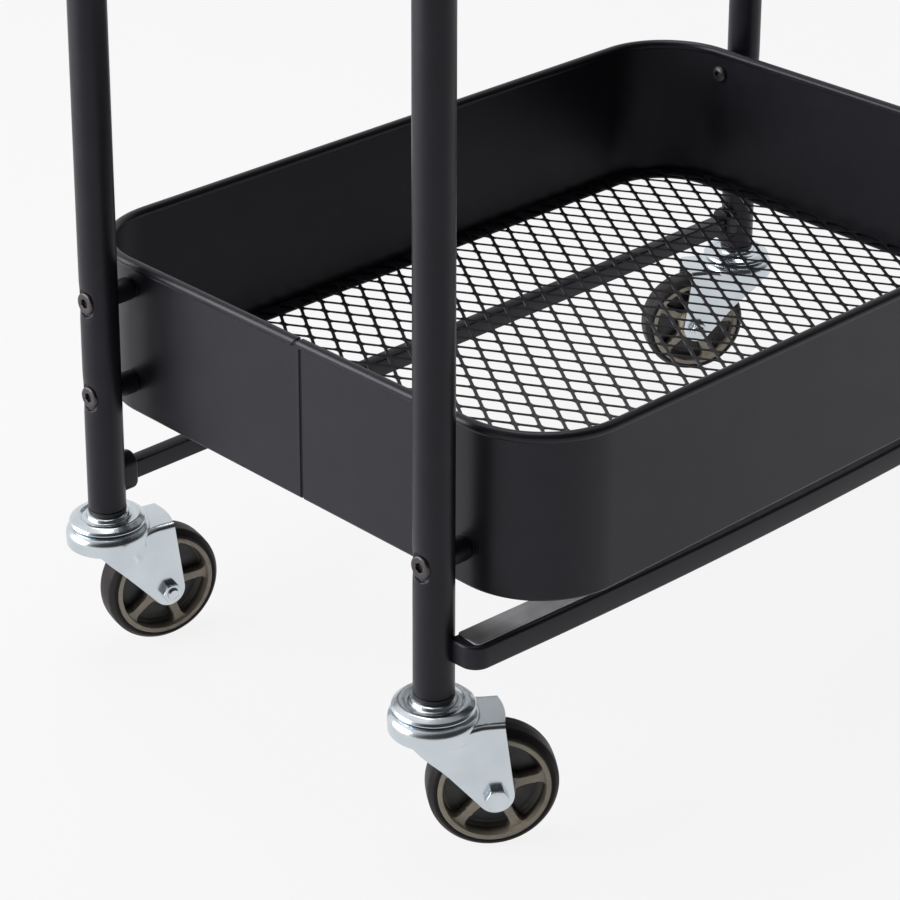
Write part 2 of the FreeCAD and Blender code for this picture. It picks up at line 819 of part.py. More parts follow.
def caster_fork(label):
    """The yoke: two tapered legs under a web, with the round head and the lower race."""
    owner = body(label)
    side = sketch(owner, "XZ_Plane")
    slant = fork_end_radius * math.sqrt(0.5)
    outline(side, [
        (-fork_front, fork_top),
        (-fork_front, fork_top - fork_shoulder),
        (caster_trail - slant, wheel_radius - slant, (caster_trail, wheel_radius), "left"),
        (caster_trail + fork_end_radius, wheel_radius),
        (fork_back, fork_top - fork_shoulder * 2),
        (fork_back, fork_top),
    ])
    pad(owner, side, fork_gap + fork_sheet * 2, symmetric=True)
    channel = sketch(owner, "YZ_Plane")
    outline(channel, [
        (-fork_gap / 2, 0),
        (fork_gap / 2, 0),
        (fork_gap / 2, fork_top - fork_sheet),
        (-fork_gap / 2, fork_top - fork_sheet),
    ])
    pocket(owner, channel)
    head = sketch(owner, "XZ_Plane")
    rim = head_dia / 2
    web = fork_top - fork_sheet
    bore = kingpin_dia / 2 + fit_gap * 2
    outline(head, [
        (bore, under_race_bottom),
        (under_race_dia / 2 - fork_sheet, under_race_bottom),
        (under_race_dia / 2, web - under_race_height / 2),
        (under_race_dia / 2, web),
        (rim - fork_sheet / 2, web),
        (rim, web + fork_sheet / 2),
        (rim, web + head_height - fork_sheet),
        (rim - fork_sheet, web + head_height),
        (bore, web + head_height),
    ])
    feature = owner.newObject("PartDesign::Revolution", f"{label}_head")
    feature.Profile = head
    feature.ReferenceAxis = (head, ["V_Axis"])
    feature.Angle = 360
    through = sketch(owner)
    circle(through, 0, 0, bore * 2)
    pocket(owner, through)
    axle = sketch(owner, "XZ_Plane")
    circle(axle, caster_trail, wheel_radius, axle_dia + fit_gap * 2)
    pocket(owner, axle)
    return owner


def axle_bolt(label):
    """A hex-head bolt along the axle; the head's seat is at height 0 and the shank runs down."""
    owner = body(label)
    span = fork_gap + fork_sheet * 2
    head = sketch(owner)
    hexagon(head, axle_head_flats)
    pad(owner, head, axle_head_height)
    shank = sketch(owner)
    circle(shank, 0, 0, axle_dia)
    feature = pad(owner, shank, span + axle_nut_height + axle_tail)
    feature.Reversed = True
    return owner


def axle_nut(label):
    """The nut on the bolt's far end."""
    owner = body(label)
    made = sketch(owner)
    hexagon(made, axle_head_flats)
    circle(made, 0, 0, axle_dia + fit_gap * 2)
    pad(owner, made, axle_nut_height)
    return owner


def axle_sleeve(label):
    """The steel sleeve that the wheel turns on, clamped between the legs."""
    owner = body(label)
    made = sketch(owner)
    circle(made, 0, 0, sleeve_dia)
    circle(made, 0, 0, axle_dia + fit_gap * 2)
    pad(owner, made, fork_gap, symmetric=True)
    return owner


core_radius = wheel_radius - tread_depth
spoke_count = 5


def wheel_core(label):
    """Hub, spokes and ring, with five pockets sunk from each side down to a thin web."""
    bore = sleeve_dia / 2 + fit_gap
    hub = hub_dia / 2
    ring = core_radius - core_ring
    half = wheel_width / 2
    hub_half = fork_gap / 2 - run_gap
    web = half - web_recess
    owner = turned(label, [
        (bore, -hub_half),
        (hub - web_recess, -hub_half),
        (hub, -web),
        (ring, -web),
        (ring, -half),
        (core_radius, -half),
        (core_radius, half),
        (ring, half),
        (ring, web),
        (hub, web),
        (hub - web_recess, hub_half),
        (bore, hub_half),
    ])
    # A pocket runs between the hub and the ring, and from one spoke's side to the next
    half_turn = math.tan(math.pi / spoke_count)
    edge = spoke_width / (2 * math.cos(math.pi / spoke_count))
    far = ring * math.cos(math.pi / spoke_count / 2)
    side = far * half_turn - edge
    cuts = []
    for face in (-1, 1):
        window = sketch(owner, "XY_Plane", core_web / 2 * face)
        outline(window, [
            (hub, edge - hub * half_turn),
            (far, -side),
            (ring, -side / 2),
            (ring, side / 2),
            (far, side),
            (hub, hub * half_turn - edge),
        ])
        cuts.append(pocket(owner, window, half, reverse=face > 0))
    pattern = owner.newObject("PartDesign::PolarPattern", f"{label}_windows")
    pattern.Originals = cuts
    pattern.Axis = (window, ["N_Axis"])
    pattern.Angle = 360
    pattern.Occurrences = spoke_count
    owner.Tip = pattern
    return owner


def wheel_tread(label):
    """The tread: a ring with a crowned face and round shoulders."""
    half = wheel_width / 2
    inner = core_radius
    return turned(label, [
        (inner, -half),
        (wheel_radius - tread_shoulder, -half),
        (wheel_radius, tread_shoulder - half),
        (wheel_radius, half - tread_shoulder),
        (wheel_radius - tread_shoulder, half),
        (inner, half),
    ])


# Swivel axis, turn, and the leg on which the bolt's head sits
caster_turns = {
    "rear_left": (-post_x, post_y, rear_left_angle, 1),
    "rear_right": (post_x, post_y, rear_right_angle, -1),
    "front_left": (-post_x, -post_y, front_left_angle, -1),
    "front_right": (post_x, -post_y, front_right_angle, -1),
}
upright = Rotation(Vector(0, 0, 1), 1)


def stand(thing, x, y, turn, out=0, along=0, z=0, tilt=0):
    """Places a caster piece: tilted, out along the trail and along the axle, turned about the swivel axis."""
    thing.Placement = Placement(Vector(0, 0, 0), upright)
    angle = size(turn).text
    trail, side = size(out).text, size(along).text
    thing.setExpression("Placement.Base.x", f"{size(x).text} + ({trail}) * cos({angle} * 1deg)"
                        f" - ({side}) * sin({angle} * 1deg)")
    thing.setExpression("Placement.Base.y", f"{size(y).text} + ({trail}) * sin({angle} * 1deg)"
                        f" + ({side}) * cos({angle} * 1deg)")
    bind(thing, "Placement.Base.z", z)
    thing.setExpression("Placement.Rotation", f"create(<<rotation>>; create(<<vector>>; 0; 0; 1);"
                        f" {angle} * 1deg) * create(<<rotation>>; create(<<vector>>; 1; 0; 0); {tilt} deg)")
    return thing


for frame_name, y in (("rear", post_y), ("front", -post_y)):
    socket = place(stem_socket(f"{frame_name}_socket"), -post_x, y, post_base)
    both_sides(f"{frame_name}_stem_sockets", [socket])
    stem = place(caster_stem(f"{frame_name}_stem"), -post_x, y, 0)
    both_sides(f"{frame_name}_caster_stems", [stem])

leg_face = fork_gap / 2 + fork_sheet
for name, (x, y, turn, head_side) in caster_turns.items():
    axle = {"out": caster_trail, "z": wheel_radius, "tilt": -90 * head_side}
    node(stand(caster_fork(f"{name}_caster_fork"), x, y, turn))
    bolt = stand(axle_bolt(f"{name}_bolt"), x, y, turn, along=leg_face * head_side, **axle)
    nut_end = (leg_face + axle_nut_height) * -head_side
    nut = stand(axle_nut(f"{name}_nut"), x, y, turn, along=nut_end, **axle)
    group(f"{name}_axle_bolt", [bolt, nut])
    node(stand(axle_sleeve(f"{name}_axle_sleeve"), x, y, turn, **axle))
    node(stand(wheel_core(f"{name}_wheel_core"), x, y, turn, **axle))
    node(stand(wheel_tread(f"{name}_wheel_tread"), x, y, turn, **axle))

doc.recompute()

# Every object has to be sound before anything is written
for thing in doc.Objects:
    if "Invalid" in thing.State or "Error" in thing.State:
        raise RuntimeError(f"{thing.Label}: {thing.State}")
os.makedirs("parts", exist_ok=True)
for thing in nodes:
    if thing.Shape.isNull() or not thing.Shape.isValid() or not thing.Shape.Solids:
        raise RuntimeError(f"{thing.Label} has no sound shape")
for thing in nodes:
    thing.Shape.exportStep(f"parts/{thing.Label}.step")
    print(thing.Label, len(thing.Shape.Solids), round(thing.Shape.Volume, 1))
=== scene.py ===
import json
import math

import bmesh
import bpy
import numpy as np
from bpy.props import FloatProperty, FloatVectorProperty, IntProperty, PointerProperty
from mathutils import Matrix, Vector


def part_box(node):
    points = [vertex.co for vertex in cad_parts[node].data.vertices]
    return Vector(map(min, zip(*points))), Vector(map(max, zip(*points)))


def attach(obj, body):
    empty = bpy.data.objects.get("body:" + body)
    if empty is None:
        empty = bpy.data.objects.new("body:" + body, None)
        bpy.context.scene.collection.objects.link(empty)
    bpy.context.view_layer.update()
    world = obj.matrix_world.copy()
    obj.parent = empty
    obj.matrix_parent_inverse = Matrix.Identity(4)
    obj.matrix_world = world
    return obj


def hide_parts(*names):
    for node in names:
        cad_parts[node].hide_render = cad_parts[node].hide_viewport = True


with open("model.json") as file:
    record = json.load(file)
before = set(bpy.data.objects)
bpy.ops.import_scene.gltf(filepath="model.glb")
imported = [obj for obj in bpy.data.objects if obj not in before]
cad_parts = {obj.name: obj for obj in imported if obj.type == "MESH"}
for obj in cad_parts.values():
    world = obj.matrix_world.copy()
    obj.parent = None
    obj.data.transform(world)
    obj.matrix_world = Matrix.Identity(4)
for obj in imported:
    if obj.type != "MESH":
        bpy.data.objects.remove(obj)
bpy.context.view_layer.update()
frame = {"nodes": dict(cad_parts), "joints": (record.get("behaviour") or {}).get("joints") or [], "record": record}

bl_info = {
    "name": "Folding kitchen cart",
    "version": (1, 0, 0),
    "blender": (4, 5, 0),
    "location": "3D View > Sidebar > Cart",
    "description": "Builds the looks of a folding kitchen cart around its packed CAD frame",
    "category": "Add Mesh",
}

# Lengths in metres, in the CAD frame: Z up, X along the cart, +Y towards the push handle
MM = 0.001
CASTERS = ("rear_left", "rear_right", "front_left", "front_right")
TRAYS = ("lower", "upper")


def spot(joint):
    """A joint's place in the CAD frame."""
    return np.array(next(j["pos_m"] for j in frame["joints"] if j["name"] == joint), float)


def middle(node):
    """The middle of a CAD node's box."""
    low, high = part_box(node)
    return (np.array(low) + np.array(high)) / 2


TRAY_PITCH = (spot("upper_tray_fold") - spot("lower_tray_fold"))[2]
REAR_PIVOT = spot("lower_tray_fold")
FRONT_PIVOT = spot("front_frame_fold")
POST_X = abs(middle("front_left_post")[0])
POST_Y = abs(middle("front_left_post")[1])
FRAME_SIDES = (("rear", POST_Y), ("front", -POST_Y))
PEG_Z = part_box("steady_pegs")[0].z
AXLE_Z = float(spot("front_left_wheel_spin")[2])
TRAIL = float(np.linalg.norm((spot("front_left_wheel_spin") - spot("front_left_swivel"))[:2]))


def length(name, description, millimetres):
    """A length of the cart that a user may change."""
    return FloatProperty(name=name, description=description, default=millimetres * MM, min=0.0,
                         unit="LENGTH", precision=5)


def colour(name, description, default):
    """A colour of the cart that a user may change."""
    return FloatVectorProperty(name=name, description=description, default=default, size=3,
                               min=0.0, max=1.0, subtype="COLOR")


class CartFrameSizes(bpy.types.PropertyGroup):
    post_radius: length("Post radius", "Radius of the round tube", 12.5)
    post_wall: length("Tube wall", "Wall of the round tube", 1.5)
    handle_bend: length("Handle bend", "Radius of the push handle's bends", 55)
    seat_depth: length("Screw seat depth", "How far a screw's seat is pressed in", 2.5)
    seat_radius: length("Screw seat radius", "Radius of a pressed-in seat", 8.4)
    dent_depth: length("Dent depth", "Soft dent in the tube round a seat", 0.5)
    spacer_radius: length("Spacer radius", "Radius of spacers and steady pegs", 7.75)
    spacer_round: length("Spacer rounding", "Rounding of a spacer's end at the tray", 1.8)
    bar_edge: length("Bar edge", "Rounding of the lower bars' edges", 2.2)
    bar_reach: length("Bar reach", "From the front posts' middle to the front bar's back edge", 10)
    bar_bow: length("Bar bow", "How far the front bar bows forwards", 9.5)
    bar_corner: length("Bar corner", "Radius of the front bar's front corners", 12)
    plate_length: length("Plate length", "Length of the bare plate on the front bar", 92)
    plate_width: length("Plate width", "Width of the bare plate", 18.5)
    plate_turn: FloatProperty(name="Plate turn", description="The plate follows the bar's bow",
                              default=math.radians(-3.1), subtype="ANGLE")


class CartTraySizes(bpy.types.PropertyGroup):
    sheet: length("Sheet", "Thickness of the tray's sheet", 1.2)
    corner: length("Corner radius", "Radius of the tray's corners", 60)
    bead: length("Rim bead", "Diameter of the rolled rim", 7)
    flange: length("Floor flange", "Width of the in-turned flange", 13)
    bottom_bend: length("Bottom bend", "Outer radius of the bend above the flange", 2.4)
    seam_place: FloatProperty(name="Seam place", unit="LENGTH", precision=5, default=-10.4 * MM,
                              description="Where the band's ends meet, along the short wall")
    seam_width: length("Seam width", "Width of the seam's groove", 2.4)
    seam_depth: length("Seam depth", "Depth of the seam's groove", 1.1)
    mesh_long: length("Mesh long way", "Length of a diamond, across the tray", 29)
    mesh_short: length("Mesh short way", "Width of a diamond, along the tray", 17.6)
    mesh_strand: length("Mesh strand", "Width of a strand", 2.25)
    mesh_sheet: length("Mesh sheet", "Thickness of a strand", 0.9)
    mesh_tilt: length("Strand tilt", "How far one side of a strand stands above the other", 0.5)
    mesh_skew: FloatProperty(name="Mesh skew", default=0.1,
                             description="Slope of the mesh's rows across the tray")


class CartScrewSizes(bpy.types.PropertyGroup):
    head_radius: length("Head radius", "Radius of a screw's flat head", 7.25)
    head_rise: length("Head height", "Height of a screw's head above its seat", 2)
    head_bevel: length("Head bevel", "Bevel round a screw's head", 0.9)
    key: length("Hex key", "Width across flats of the hex socket", 5.8)
    key_depth: length("Socket depth", "Depth of the hex socket", 2.4)
    shank: length("Shank radius", "Radius of a screw's shank", 3)
    nut_radius: length("Button radius", "Radius of the barrel nuts' button heads", 6.25)
    nut_rise: length("Button height", "Height of a button head", 3)


class CartCasterSizes(bpy.types.PropertyGroup):
    wheel_radius: length("Wheel radius", "Radius of the wheel over its tread", AXLE_Z / MM)
    wheel_half: length("Wheel half width", "Half of the wheel's width", 11)
    tread: length("Tread depth", "Radial depth of the rubber tread", 5.5)
    ring: length("Core ring", "Radial width of the core's outer ring", 3.5)
    hub: length("Hub radius", "Radius of the wheel's hub", 12.5)
    spoke: length("Spoke half width", "Half of a spoke's width at its waist", 3)
    spoke_recess: length("Spoke recess", "How far the spokes lie below the ring's face", 2.6)
    web_half: length("Web half thickness", "Half of the web's thickness between the spokes", 1.5)
    spokes: IntProperty(name="Spokes", description="Number of spokes", default=5, min=3)
    yoke_half: length("Yoke half width", "Half of the yoke's outer width", 17.5)
    yoke_sheet: length("Yoke sheet", "Thickness of the yoke's sheet", 2.5)
    yoke_end: length("Leg end radius", "Radius of a leg's round end about the axle", 11)
    yoke_bend: length("Yoke bend", "Outer radius of the bend between bridge and leg", 3.6)
    head_rise: length("Head rise", "Height of the round head above the bridge", 4.5)
    cup: length("Cup radius", "Radius of the yoke's round head", 27.8)
    hex_flats: length("Hexagon", "Width across flats of the axle bolt's head", 13)


class CartColours(bpy.types.PropertyGroup):
    coat: colour("Powder coat", "Black coat of the tubes and trays", (0.0105, 0.0101, 0.0134))
    screw: colour("Screws", "Blackened steel of the screws", (0.072, 0.063, 0.066))
    plastic: colour("Black plastic", "Sockets, caps and bushes", (0.012, 0.012, 0.013))
    plate: colour("Bare plate", "The plate on the front bar", (0.38, 0.38, 0.39))
    zinc: colour("Zinc", "Bright zinc plating of the casters", (0.61, 0.66, 0.7))
    core: colour("Wheel core", "Taupe plastic of the ring and spokes", (0.39, 0.345, 0.275))
    # Painted shade: the near-black colour that the core goes over to down in the pockets between the spokes
    pocket_shade: colour("Wheel web", "Darker plastic in the wheel's pockets", (0.011, 0.0093, 0.009))
    rubber: colour("Tread", "Dark rubber of the tread", (0.019, 0.016, 0.0165))
    floor: colour("Floor", "The studio floor and backdrop", (0.94, 0.94, 0.94))


def props(name):
    """One of the cart's groups of sizes or colours."""
    return getattr(bpy.context.scene, f"cart_{name}")


# Shapes. A part is (points, blocks of faces), and a piece joins several parts.

def grid_faces(rows, columns, wrap_rows=False, wrap_columns=False):
    """The four-sided faces of a grid of points, numbered row by row, closed along the wrapped ways."""
    i, j = np.meshgrid(np.arange(rows if wrap_rows else rows - 1),
                       np.arange(columns if wrap_columns else columns - 1), indexing="ij")
    k, m = (i + 1) % rows, (j + 1) % columns
    corners = [i * columns + j, i * columns + m, k * columns + m, k * columns + j]
    return np.stack(corners, -1).reshape(-1, 4)


def ring_part(rings, closed=False, capped=False):
    """A part from a row of rings: closed joins the last ring to the first, capped closes both ends."""
    rows, columns = rings.shape[:2]
    blocks = [grid_faces(rows, columns, closed, True)]
    if capped:
        blocks += [np.arange(columns)[None], np.arange(columns)[None] + (rows - 1) * columns]
    return rings.reshape(-1, 3), blocks


def turn(steps):
    """Evenly spaced angles of a full turn."""
    return np.linspace(0, 2 * np.pi, steps, endpoint=False)


def unit(angle):
    """Unit vectors (cos a, sin a)."""
    return np.stack([np.cos(angle), np.sin(angle)], -1)


def scaled(vectors):
    """Vectors brought to length 1, where they have a length."""
    return vectors / np.maximum(np.linalg.norm(vectors, axis=1, keepdims=True), 1e-9)


def lathe(rows, steps=72, closed=False):
    """Rows of (radius, height) turned about Z: (r cos a, r sin a, h). Each is one number, or an array
    with one for each angle. A radius of 0 makes a pole."""
    cos, sin = unit(turn(steps)).T
    rings = [np.stack(np.broadcast_arrays(r * cos, r * sin, h), -1) for r, h in rows]
    return ring_part(np.stack(rings), closed)


def filleted(corners, closed=True, steps=6):
    """Corners (a, b, radius) as a line with round corners.

    At each corner the arc's centre lies on the bisector at radius / sin(half angle), and the arc runs
    between the points where it touches the two sides, as a spherical mix of the two radii."""
    corners = np.array(corners, float)
    at, radius = corners[:, :2], corners[:, 2:3]
    before, after = scaled(np.roll(at, 1, 0) - at), scaled(np.roll(at, -1, 0) - at)
    half = np.arccos(np.clip((before * after).sum(1, keepdims=True), -1, 1)) / 2
    centre = at + scaled(before + after) * radius / np.sin(half)
    touch = radius / np.tan(half)
    first, last = at + before * touch - centre, at + after * touch - centre
    share = np.linspace(0, 1, steps)[None, :, None]
    sweep = np.maximum(np.pi - 2 * half, 1e-6)[:, None]
    mix = np.sin((1 - share) * sweep) * first[:, None] + np.sin(share * sweep) * last[:, None]
    line = centre[:, None] + mix / np.sin(sweep)
    if not closed:
        line[0], line[-1] = at[0], at[-1]
    return line.reshape(-1, 2)


def round_rectangle(half_a, half_b, radius, steps=6):
    """An anticlockwise rectangle about the origin with round corners."""
    return filleted([(half_a, -half_b, radius), (half_a, half_b, radius),
                     (-half_a, half_b, radius), (-half_a, -half_b, radius)], steps=steps)


def inset(outline, distance):
    """A closed outline moved inwards: each point goes along the normal of its neighbours' chord."""
    chord = np.roll(outline, -1, 0) - np.roll(outline, 1, 0)
    return outline + scaled(np.stack([-chord[:, 1], chord[:, 0]], -1)) * distance


def slab(outline, low, high, edge, steps=5):
    """An anticlockwise outline raised from low to high, with both edges rounded by quarter circles:
    inset edge (1 - sin a), height edge (1 - cos a) from the face."""
    angle = np.linspace(0, np.pi / 2, steps)
    insets, depths = edge * (1 - np.sin(angle)), edge * (1 - np.cos(angle))
    levels = zip(np.r_[insets, insets[::-1]], np.r_[low + depths, high - depths[::-1]])
    rings = [np.column_stack([inset(outline, d), np.full(len(outline), z)]) for d, z in levels]
    return ring_part(np.stack(rings), capped=True)


def carried(profile, path, outward, up):
    """A profile (a, b) carried along a path: point = path + a outward + b up."""
    return path[:, None] + profile[None, :, :1] * outward[:, None] + profile[None, :, 1:] * up[:, None]


def moved(part, origin, x_axis=(1, 0, 0), y_axis=(0, 1, 0), z_axis=(0, 0, 1)):
    """A part with its own axes laid along three directions, from an origin."""
    points, blocks = part
    return points @ np.array([x_axis, y_axis, z_axis], float) + np.asarray(origin, float), blocks


def both(part):
    """A left-hand part and its twin on the other side of the cart's middle plane."""
    points, blocks = part
    return [part, (points * (-1, 1, 1), [block[:, ::-1] for block in blocks])]


def smooth_step(value, low, high):
    """0 below low, 1 above high, and 3 t^2 - 2 t^3 between."""
    share = np.clip((value - low) / (high - low), 0, 1)
    return share * share * (3 - 2 * share)


def hex_radius(flats, steps=72):
    """A hexagon's radius at each angle of a turn: half the flats / cos(angle from a flat)."""
    return flats / 2 / np.cos((turn(steps) + np.pi / 6) % (np.pi / 3) - np.pi / 6)


# Points nearer than this are one point, and shorter edges go, in metres
MERGE = 2e-6
SHORTEST = 1e-6


def make_piece(name, parts, body, finish, nodes=(), sharp=32.0, bevel=None, recess=None):
    """Joins parts into one mesh, merges its seams and poles, turns its faces outwards, gives it its
    finish and lets it ride on a CAD body, in place of the CAD nodes that it stands for."""
    points = np.concatenate([part[0] for part in parts])
    starts = np.cumsum([0] + [len(part[0]) for part in parts])
    faces = []
    for start, (_, blocks) in zip(starts, parts):
        for block in blocks:
            faces += (block + start).tolist()
    mesh = bpy.data.meshes.new(name)
    mesh.from_pydata(points.tolist(), [], faces)
    # Each point's share of painted shade, kept as a mesh attribute for the finish to read
    if recess is not None:
        layer = mesh.attributes.new("recess", "FLOAT", "POINT")
        layer.data.foreach_set("value", np.asarray(recess, np.float32))
    work = bmesh.new()
    work.from_mesh(mesh)
    bmesh.ops.remove_doubles(work, verts=work.verts, dist=MERGE)
    bmesh.ops.dissolve_degenerate(work, edges=work.edges, dist=SHORTEST)
    bmesh.ops.recalc_face_normals(work, faces=work.faces)
    work.to_mesh(mesh)
    work.free()
    mesh.polygons.foreach_set("use_smooth", np.ones(len(mesh.polygons), bool))
    mesh.set_sharp_from_angle(angle=math.radians(sharp))
    mesh.validate()
    piece = bpy.data.objects.new(name, mesh)
    bpy.context.scene.collection.objects.link(piece)
    if bevel:
        modifier = piece.modifiers.new("edges", "BEVEL")
        modifier.width = bevel
        modifier.segments = 2
        modifier.limit_method = "ANGLE"
        modifier.angle_limit = math.radians(50)
    piece.data.materials.append(finish_of(finish))
    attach(piece, body)
    if nodes:
        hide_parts(*nodes)
    return piece


# Finishes

def feed(tree, socket, value):
    """Sets a node's input to a value, or links it to another node's output."""
    if isinstance(value, bpy.types.NodeSocket):
        tree.links.new(value, socket)
    else:
        socket.default_value = value


def node(tree, kind, output, inputs, **settings):
    """One output of a new shader node with given settings and inputs."""
    made = tree.nodes.new(f"ShaderNode{kind}")
    for key, value in settings.items():
        setattr(made, key, value)
    for key, value in inputs.items():
        feed(tree, made.inputs[key], value)
    return made.outputs[output]


def noise(tree, at, scale, detail):
    """Noise of a given scale per metre."""
    return node(tree, "TexNoise", "Fac", {"Vector": at, "Scale": scale, "Detail": detail})


def ranged(tree, value, low, high, start=0.3, end=0.7):
    """A value's range from start to end laid on the range from low to high."""
    return node(tree, "MapRange", "Result", {"Value": value, "From Min": start, "From Max": end,
                                             "To Min": low, "To Max": high})


def mixed(tree, share, low, high):
    """A mix of two colours by a share from 0 to 1."""
    return node(tree, "Mix", "Result", {"A": low, "B": high, "Factor": share}, data_type="RGBA")


def shade(rgb, factor):
    """A colour made lighter or darker."""
    return (*(min(1.0, c * factor) for c in rgb), 1)


# Each slot's finish: its colour, clouds in it (scale, detail, darkest, lightest), gloss (scale, detail,
# least and most roughness), bump (scale, detail, depth in millimetres, strength) and plain sockets
FINISHES = {
    # Matt black powder coat: a fine orange peel, and slightly uneven gloss
    "black_powder_coat": ("coat", (60, 3, 0.9, 1.12), (35, 4, 0.34, 0.4), (900, 2, 0.008, 1),
                          {"Specular IOR Level": 0.28, "Specular Tint": (0.9, 0.89, 1.0, 1.0)}),
    # Satin blackened steel with a faint turned grain
    "blackened_screws": ("screw", (700, 3, 0.8, 1.2), (500, 3, 0.34, 0.44), (2500, 2, 0.006, 1),
                         {"Metallic": 0.75}),
    # Moulded black plastic with a faint grain
    "black_plastic": ("plastic", (200, 3, 0.8, 1.25), (400, 3, 0.42, 0.52), (1800, 2, 0.01, 1), {}),
    # Plain grey metal, brushed along the plate
    "bare_plate": ("plate", (1500, 4, 0.85, 1.15), (1500, 4, 0.36, 0.5), (1500, 4, 0.01, 1),
                   {"Metallic": 0.9}),
    # Bright zinc plating: cloudy gloss, a pale blue cast and fine rolling marks
    "zinc_plated_steel": ("zinc", (45, 3, 0.92, 1.04), (90, 3, 0.2, 0.28), (160, 4, 0.007, 0.5),
                          {"Metallic": 1.0}),
    # Taupe plastic, with painted shade that darkens it down in the pockets between the spokes
    "wheel_core_plastic": ("core", (150, 4, 0.88, 1.1), (250, 3, 0.36, 0.48), (1500, 2, 0.01, 1), {}),
    # Smooth dark rubber with a soft gloss and a trace of dust
    "wheel_tread_rubber": ("rubber", (70, 5, 0.85, 1.2), (120, 4, 0.4, 0.52), (1200, 3, 0.015, 1),
                           {"Specular IOR Level": 0.12}),
}
# How the grain of a brushed plate is drawn out along the axes
BRUSHED = (0.02, 1, 1)


def finish_of(slot):
    """A slot's material, made when first asked for: noise in its colour, its gloss and its bump."""
    material = bpy.data.materials.get(f"cart_{slot}")
    if material:
        return material
    material = bpy.data.materials.new(f"cart_{slot}")
    material.use_nodes = True
    tree = material.node_tree
    inputs = tree.nodes["Principled BSDF"].inputs
    at = node(tree, "TexCoord", "Object", {})
    if slot == "bare_plate":
        at = node(tree, "Mapping", "Vector", {"Vector": at, "Scale": BRUSHED})
    tint, (*clouds, dark, light), (*gloss, smooth, rough), (*grain, depth, strength), plain = FINISHES[slot]
    base = getattr(props("colours"), tint)
    share = ranged(tree, noise(tree, at, *clouds), 0, 1)
    hue = mixed(tree, share, shade(base, dark), shade(base, light))
    # Painted shade: the deeper a point lies in a pocket, the nearer its colour comes to the painted pocket shade
    if slot == "wheel_core_plastic":
        pocket_shade_share = node(tree, "Attribute", "Fac", {}, attribute_name="recess")
        hue = mixed(tree, pocket_shade_share, hue, shade(props("colours").pocket_shade, 1))
    feed(tree, inputs["Base Color"], hue)
    feed(tree, inputs["Roughness"], ranged(tree, noise(tree, at, *gloss), smooth, rough))
    bump = {"Height": noise(tree, at, *grain), "Distance": depth * MM, "Strength": strength}
    feed(tree, inputs["Normal"], node(tree, "Bump", "Normal", bump))
    for socket, value in plain.items():
        inputs[socket].default_value = value
    return material


# Frame pieces

def peg_height():
    """The height of the lower steady pegs' middle."""
    return PEG_Z + props("frame").spacer_radius


def post_heights(name):
    """Heights of a post's screw seats."""
    heights = [FRONT_PIVOT[2]] if name.startswith("front") else [REAR_PIVOT[2], peg_height()]
    return [z + lift for lift in (0, TRAY_PITCH) for z in heights]


# Rows of a post lie closely within reach of a seat, and widely elsewhere
SEAT_REACH = 14 * MM
CLOSE_ROWS = 0.45 * MM
WIDE_ROWS = 20 * MM
# Width of the step round a seat, and how far the dent round it fades
SEAT_STEP = 1.1 * MM
DENT_FADE = 5 * MM


def post_rows(low, high, centres):
    """Heights from low to high, spaced closely round the centres and widely elsewhere."""
    rows = [np.arange(low, high, WIDE_ROWS), np.array([high])]
    rows += [np.arange(c - SEAT_REACH, c + SEAT_REACH + CLOSE_ROWS / 2, CLOSE_ROWS) for c in centres]
    heights = np.unique(np.round(np.concatenate(rows), 6))
    return heights[(heights >= low) & (heights <= high)]


def pressed(radius, seat, seat_radius, rows, angles, centres):
    """A tube's surface with pressed-in seats. u points out of the tube and v across it.

    Within the seat's radius d = |(v, z - centre)| the surface is the seat's plane, a narrow smooth
    step leads back to the tube, and a soft dent exp(-((d - r) / fade)^2) lies round it."""
    z = rows[:, None]
    u = np.repeat(radius * np.cos(angles)[None], len(rows), 0)
    v = radius * np.sin(angles)[None]
    outer = np.cos(angles)[None] > 0
    for centre in centres:
        d = np.hypot(v, z - centre)
        back = smooth_step(d, seat_radius, seat_radius + SEAT_STEP)
        fade = np.exp(-(np.maximum(d - seat_radius, 0) / DENT_FADE) ** 2)
        soft = u - props("frame").dent_depth * fade * outer
        u = np.where(outer, np.minimum(soft, seat + (np.maximum(soft, seat) - seat) * back), u)
    return np.stack(np.broadcast_arrays(u, v, z), -1)


def post_part(name):
    """A round tube with pressed-in screw seats, closed at its ends between outer and inner wall."""
    sizes = props("frame")
    low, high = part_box(name)
    centres = post_heights(name)
    rows = post_rows(low.z, high.z, centres)
    angles = np.radians(np.r_[np.arange(-60, 60, 2.0), np.arange(60, 300, 5.0)])
    seat = sizes.post_radius - sizes.seat_depth
    outer, inner = (pressed(sizes.post_radius - wall, seat - wall, sizes.seat_radius + wall, rows, angles,
                            centres) for wall in (0, sizes.post_wall))
    part = ring_part(np.concatenate([outer, inner[::-1]]), closed=True)
    centre = middle(name)
    side = math.copysign(1, centre[0])
    return moved(part, (side * POST_X, math.copysign(POST_Y, centre[1]), 0), (side, 0, 0))


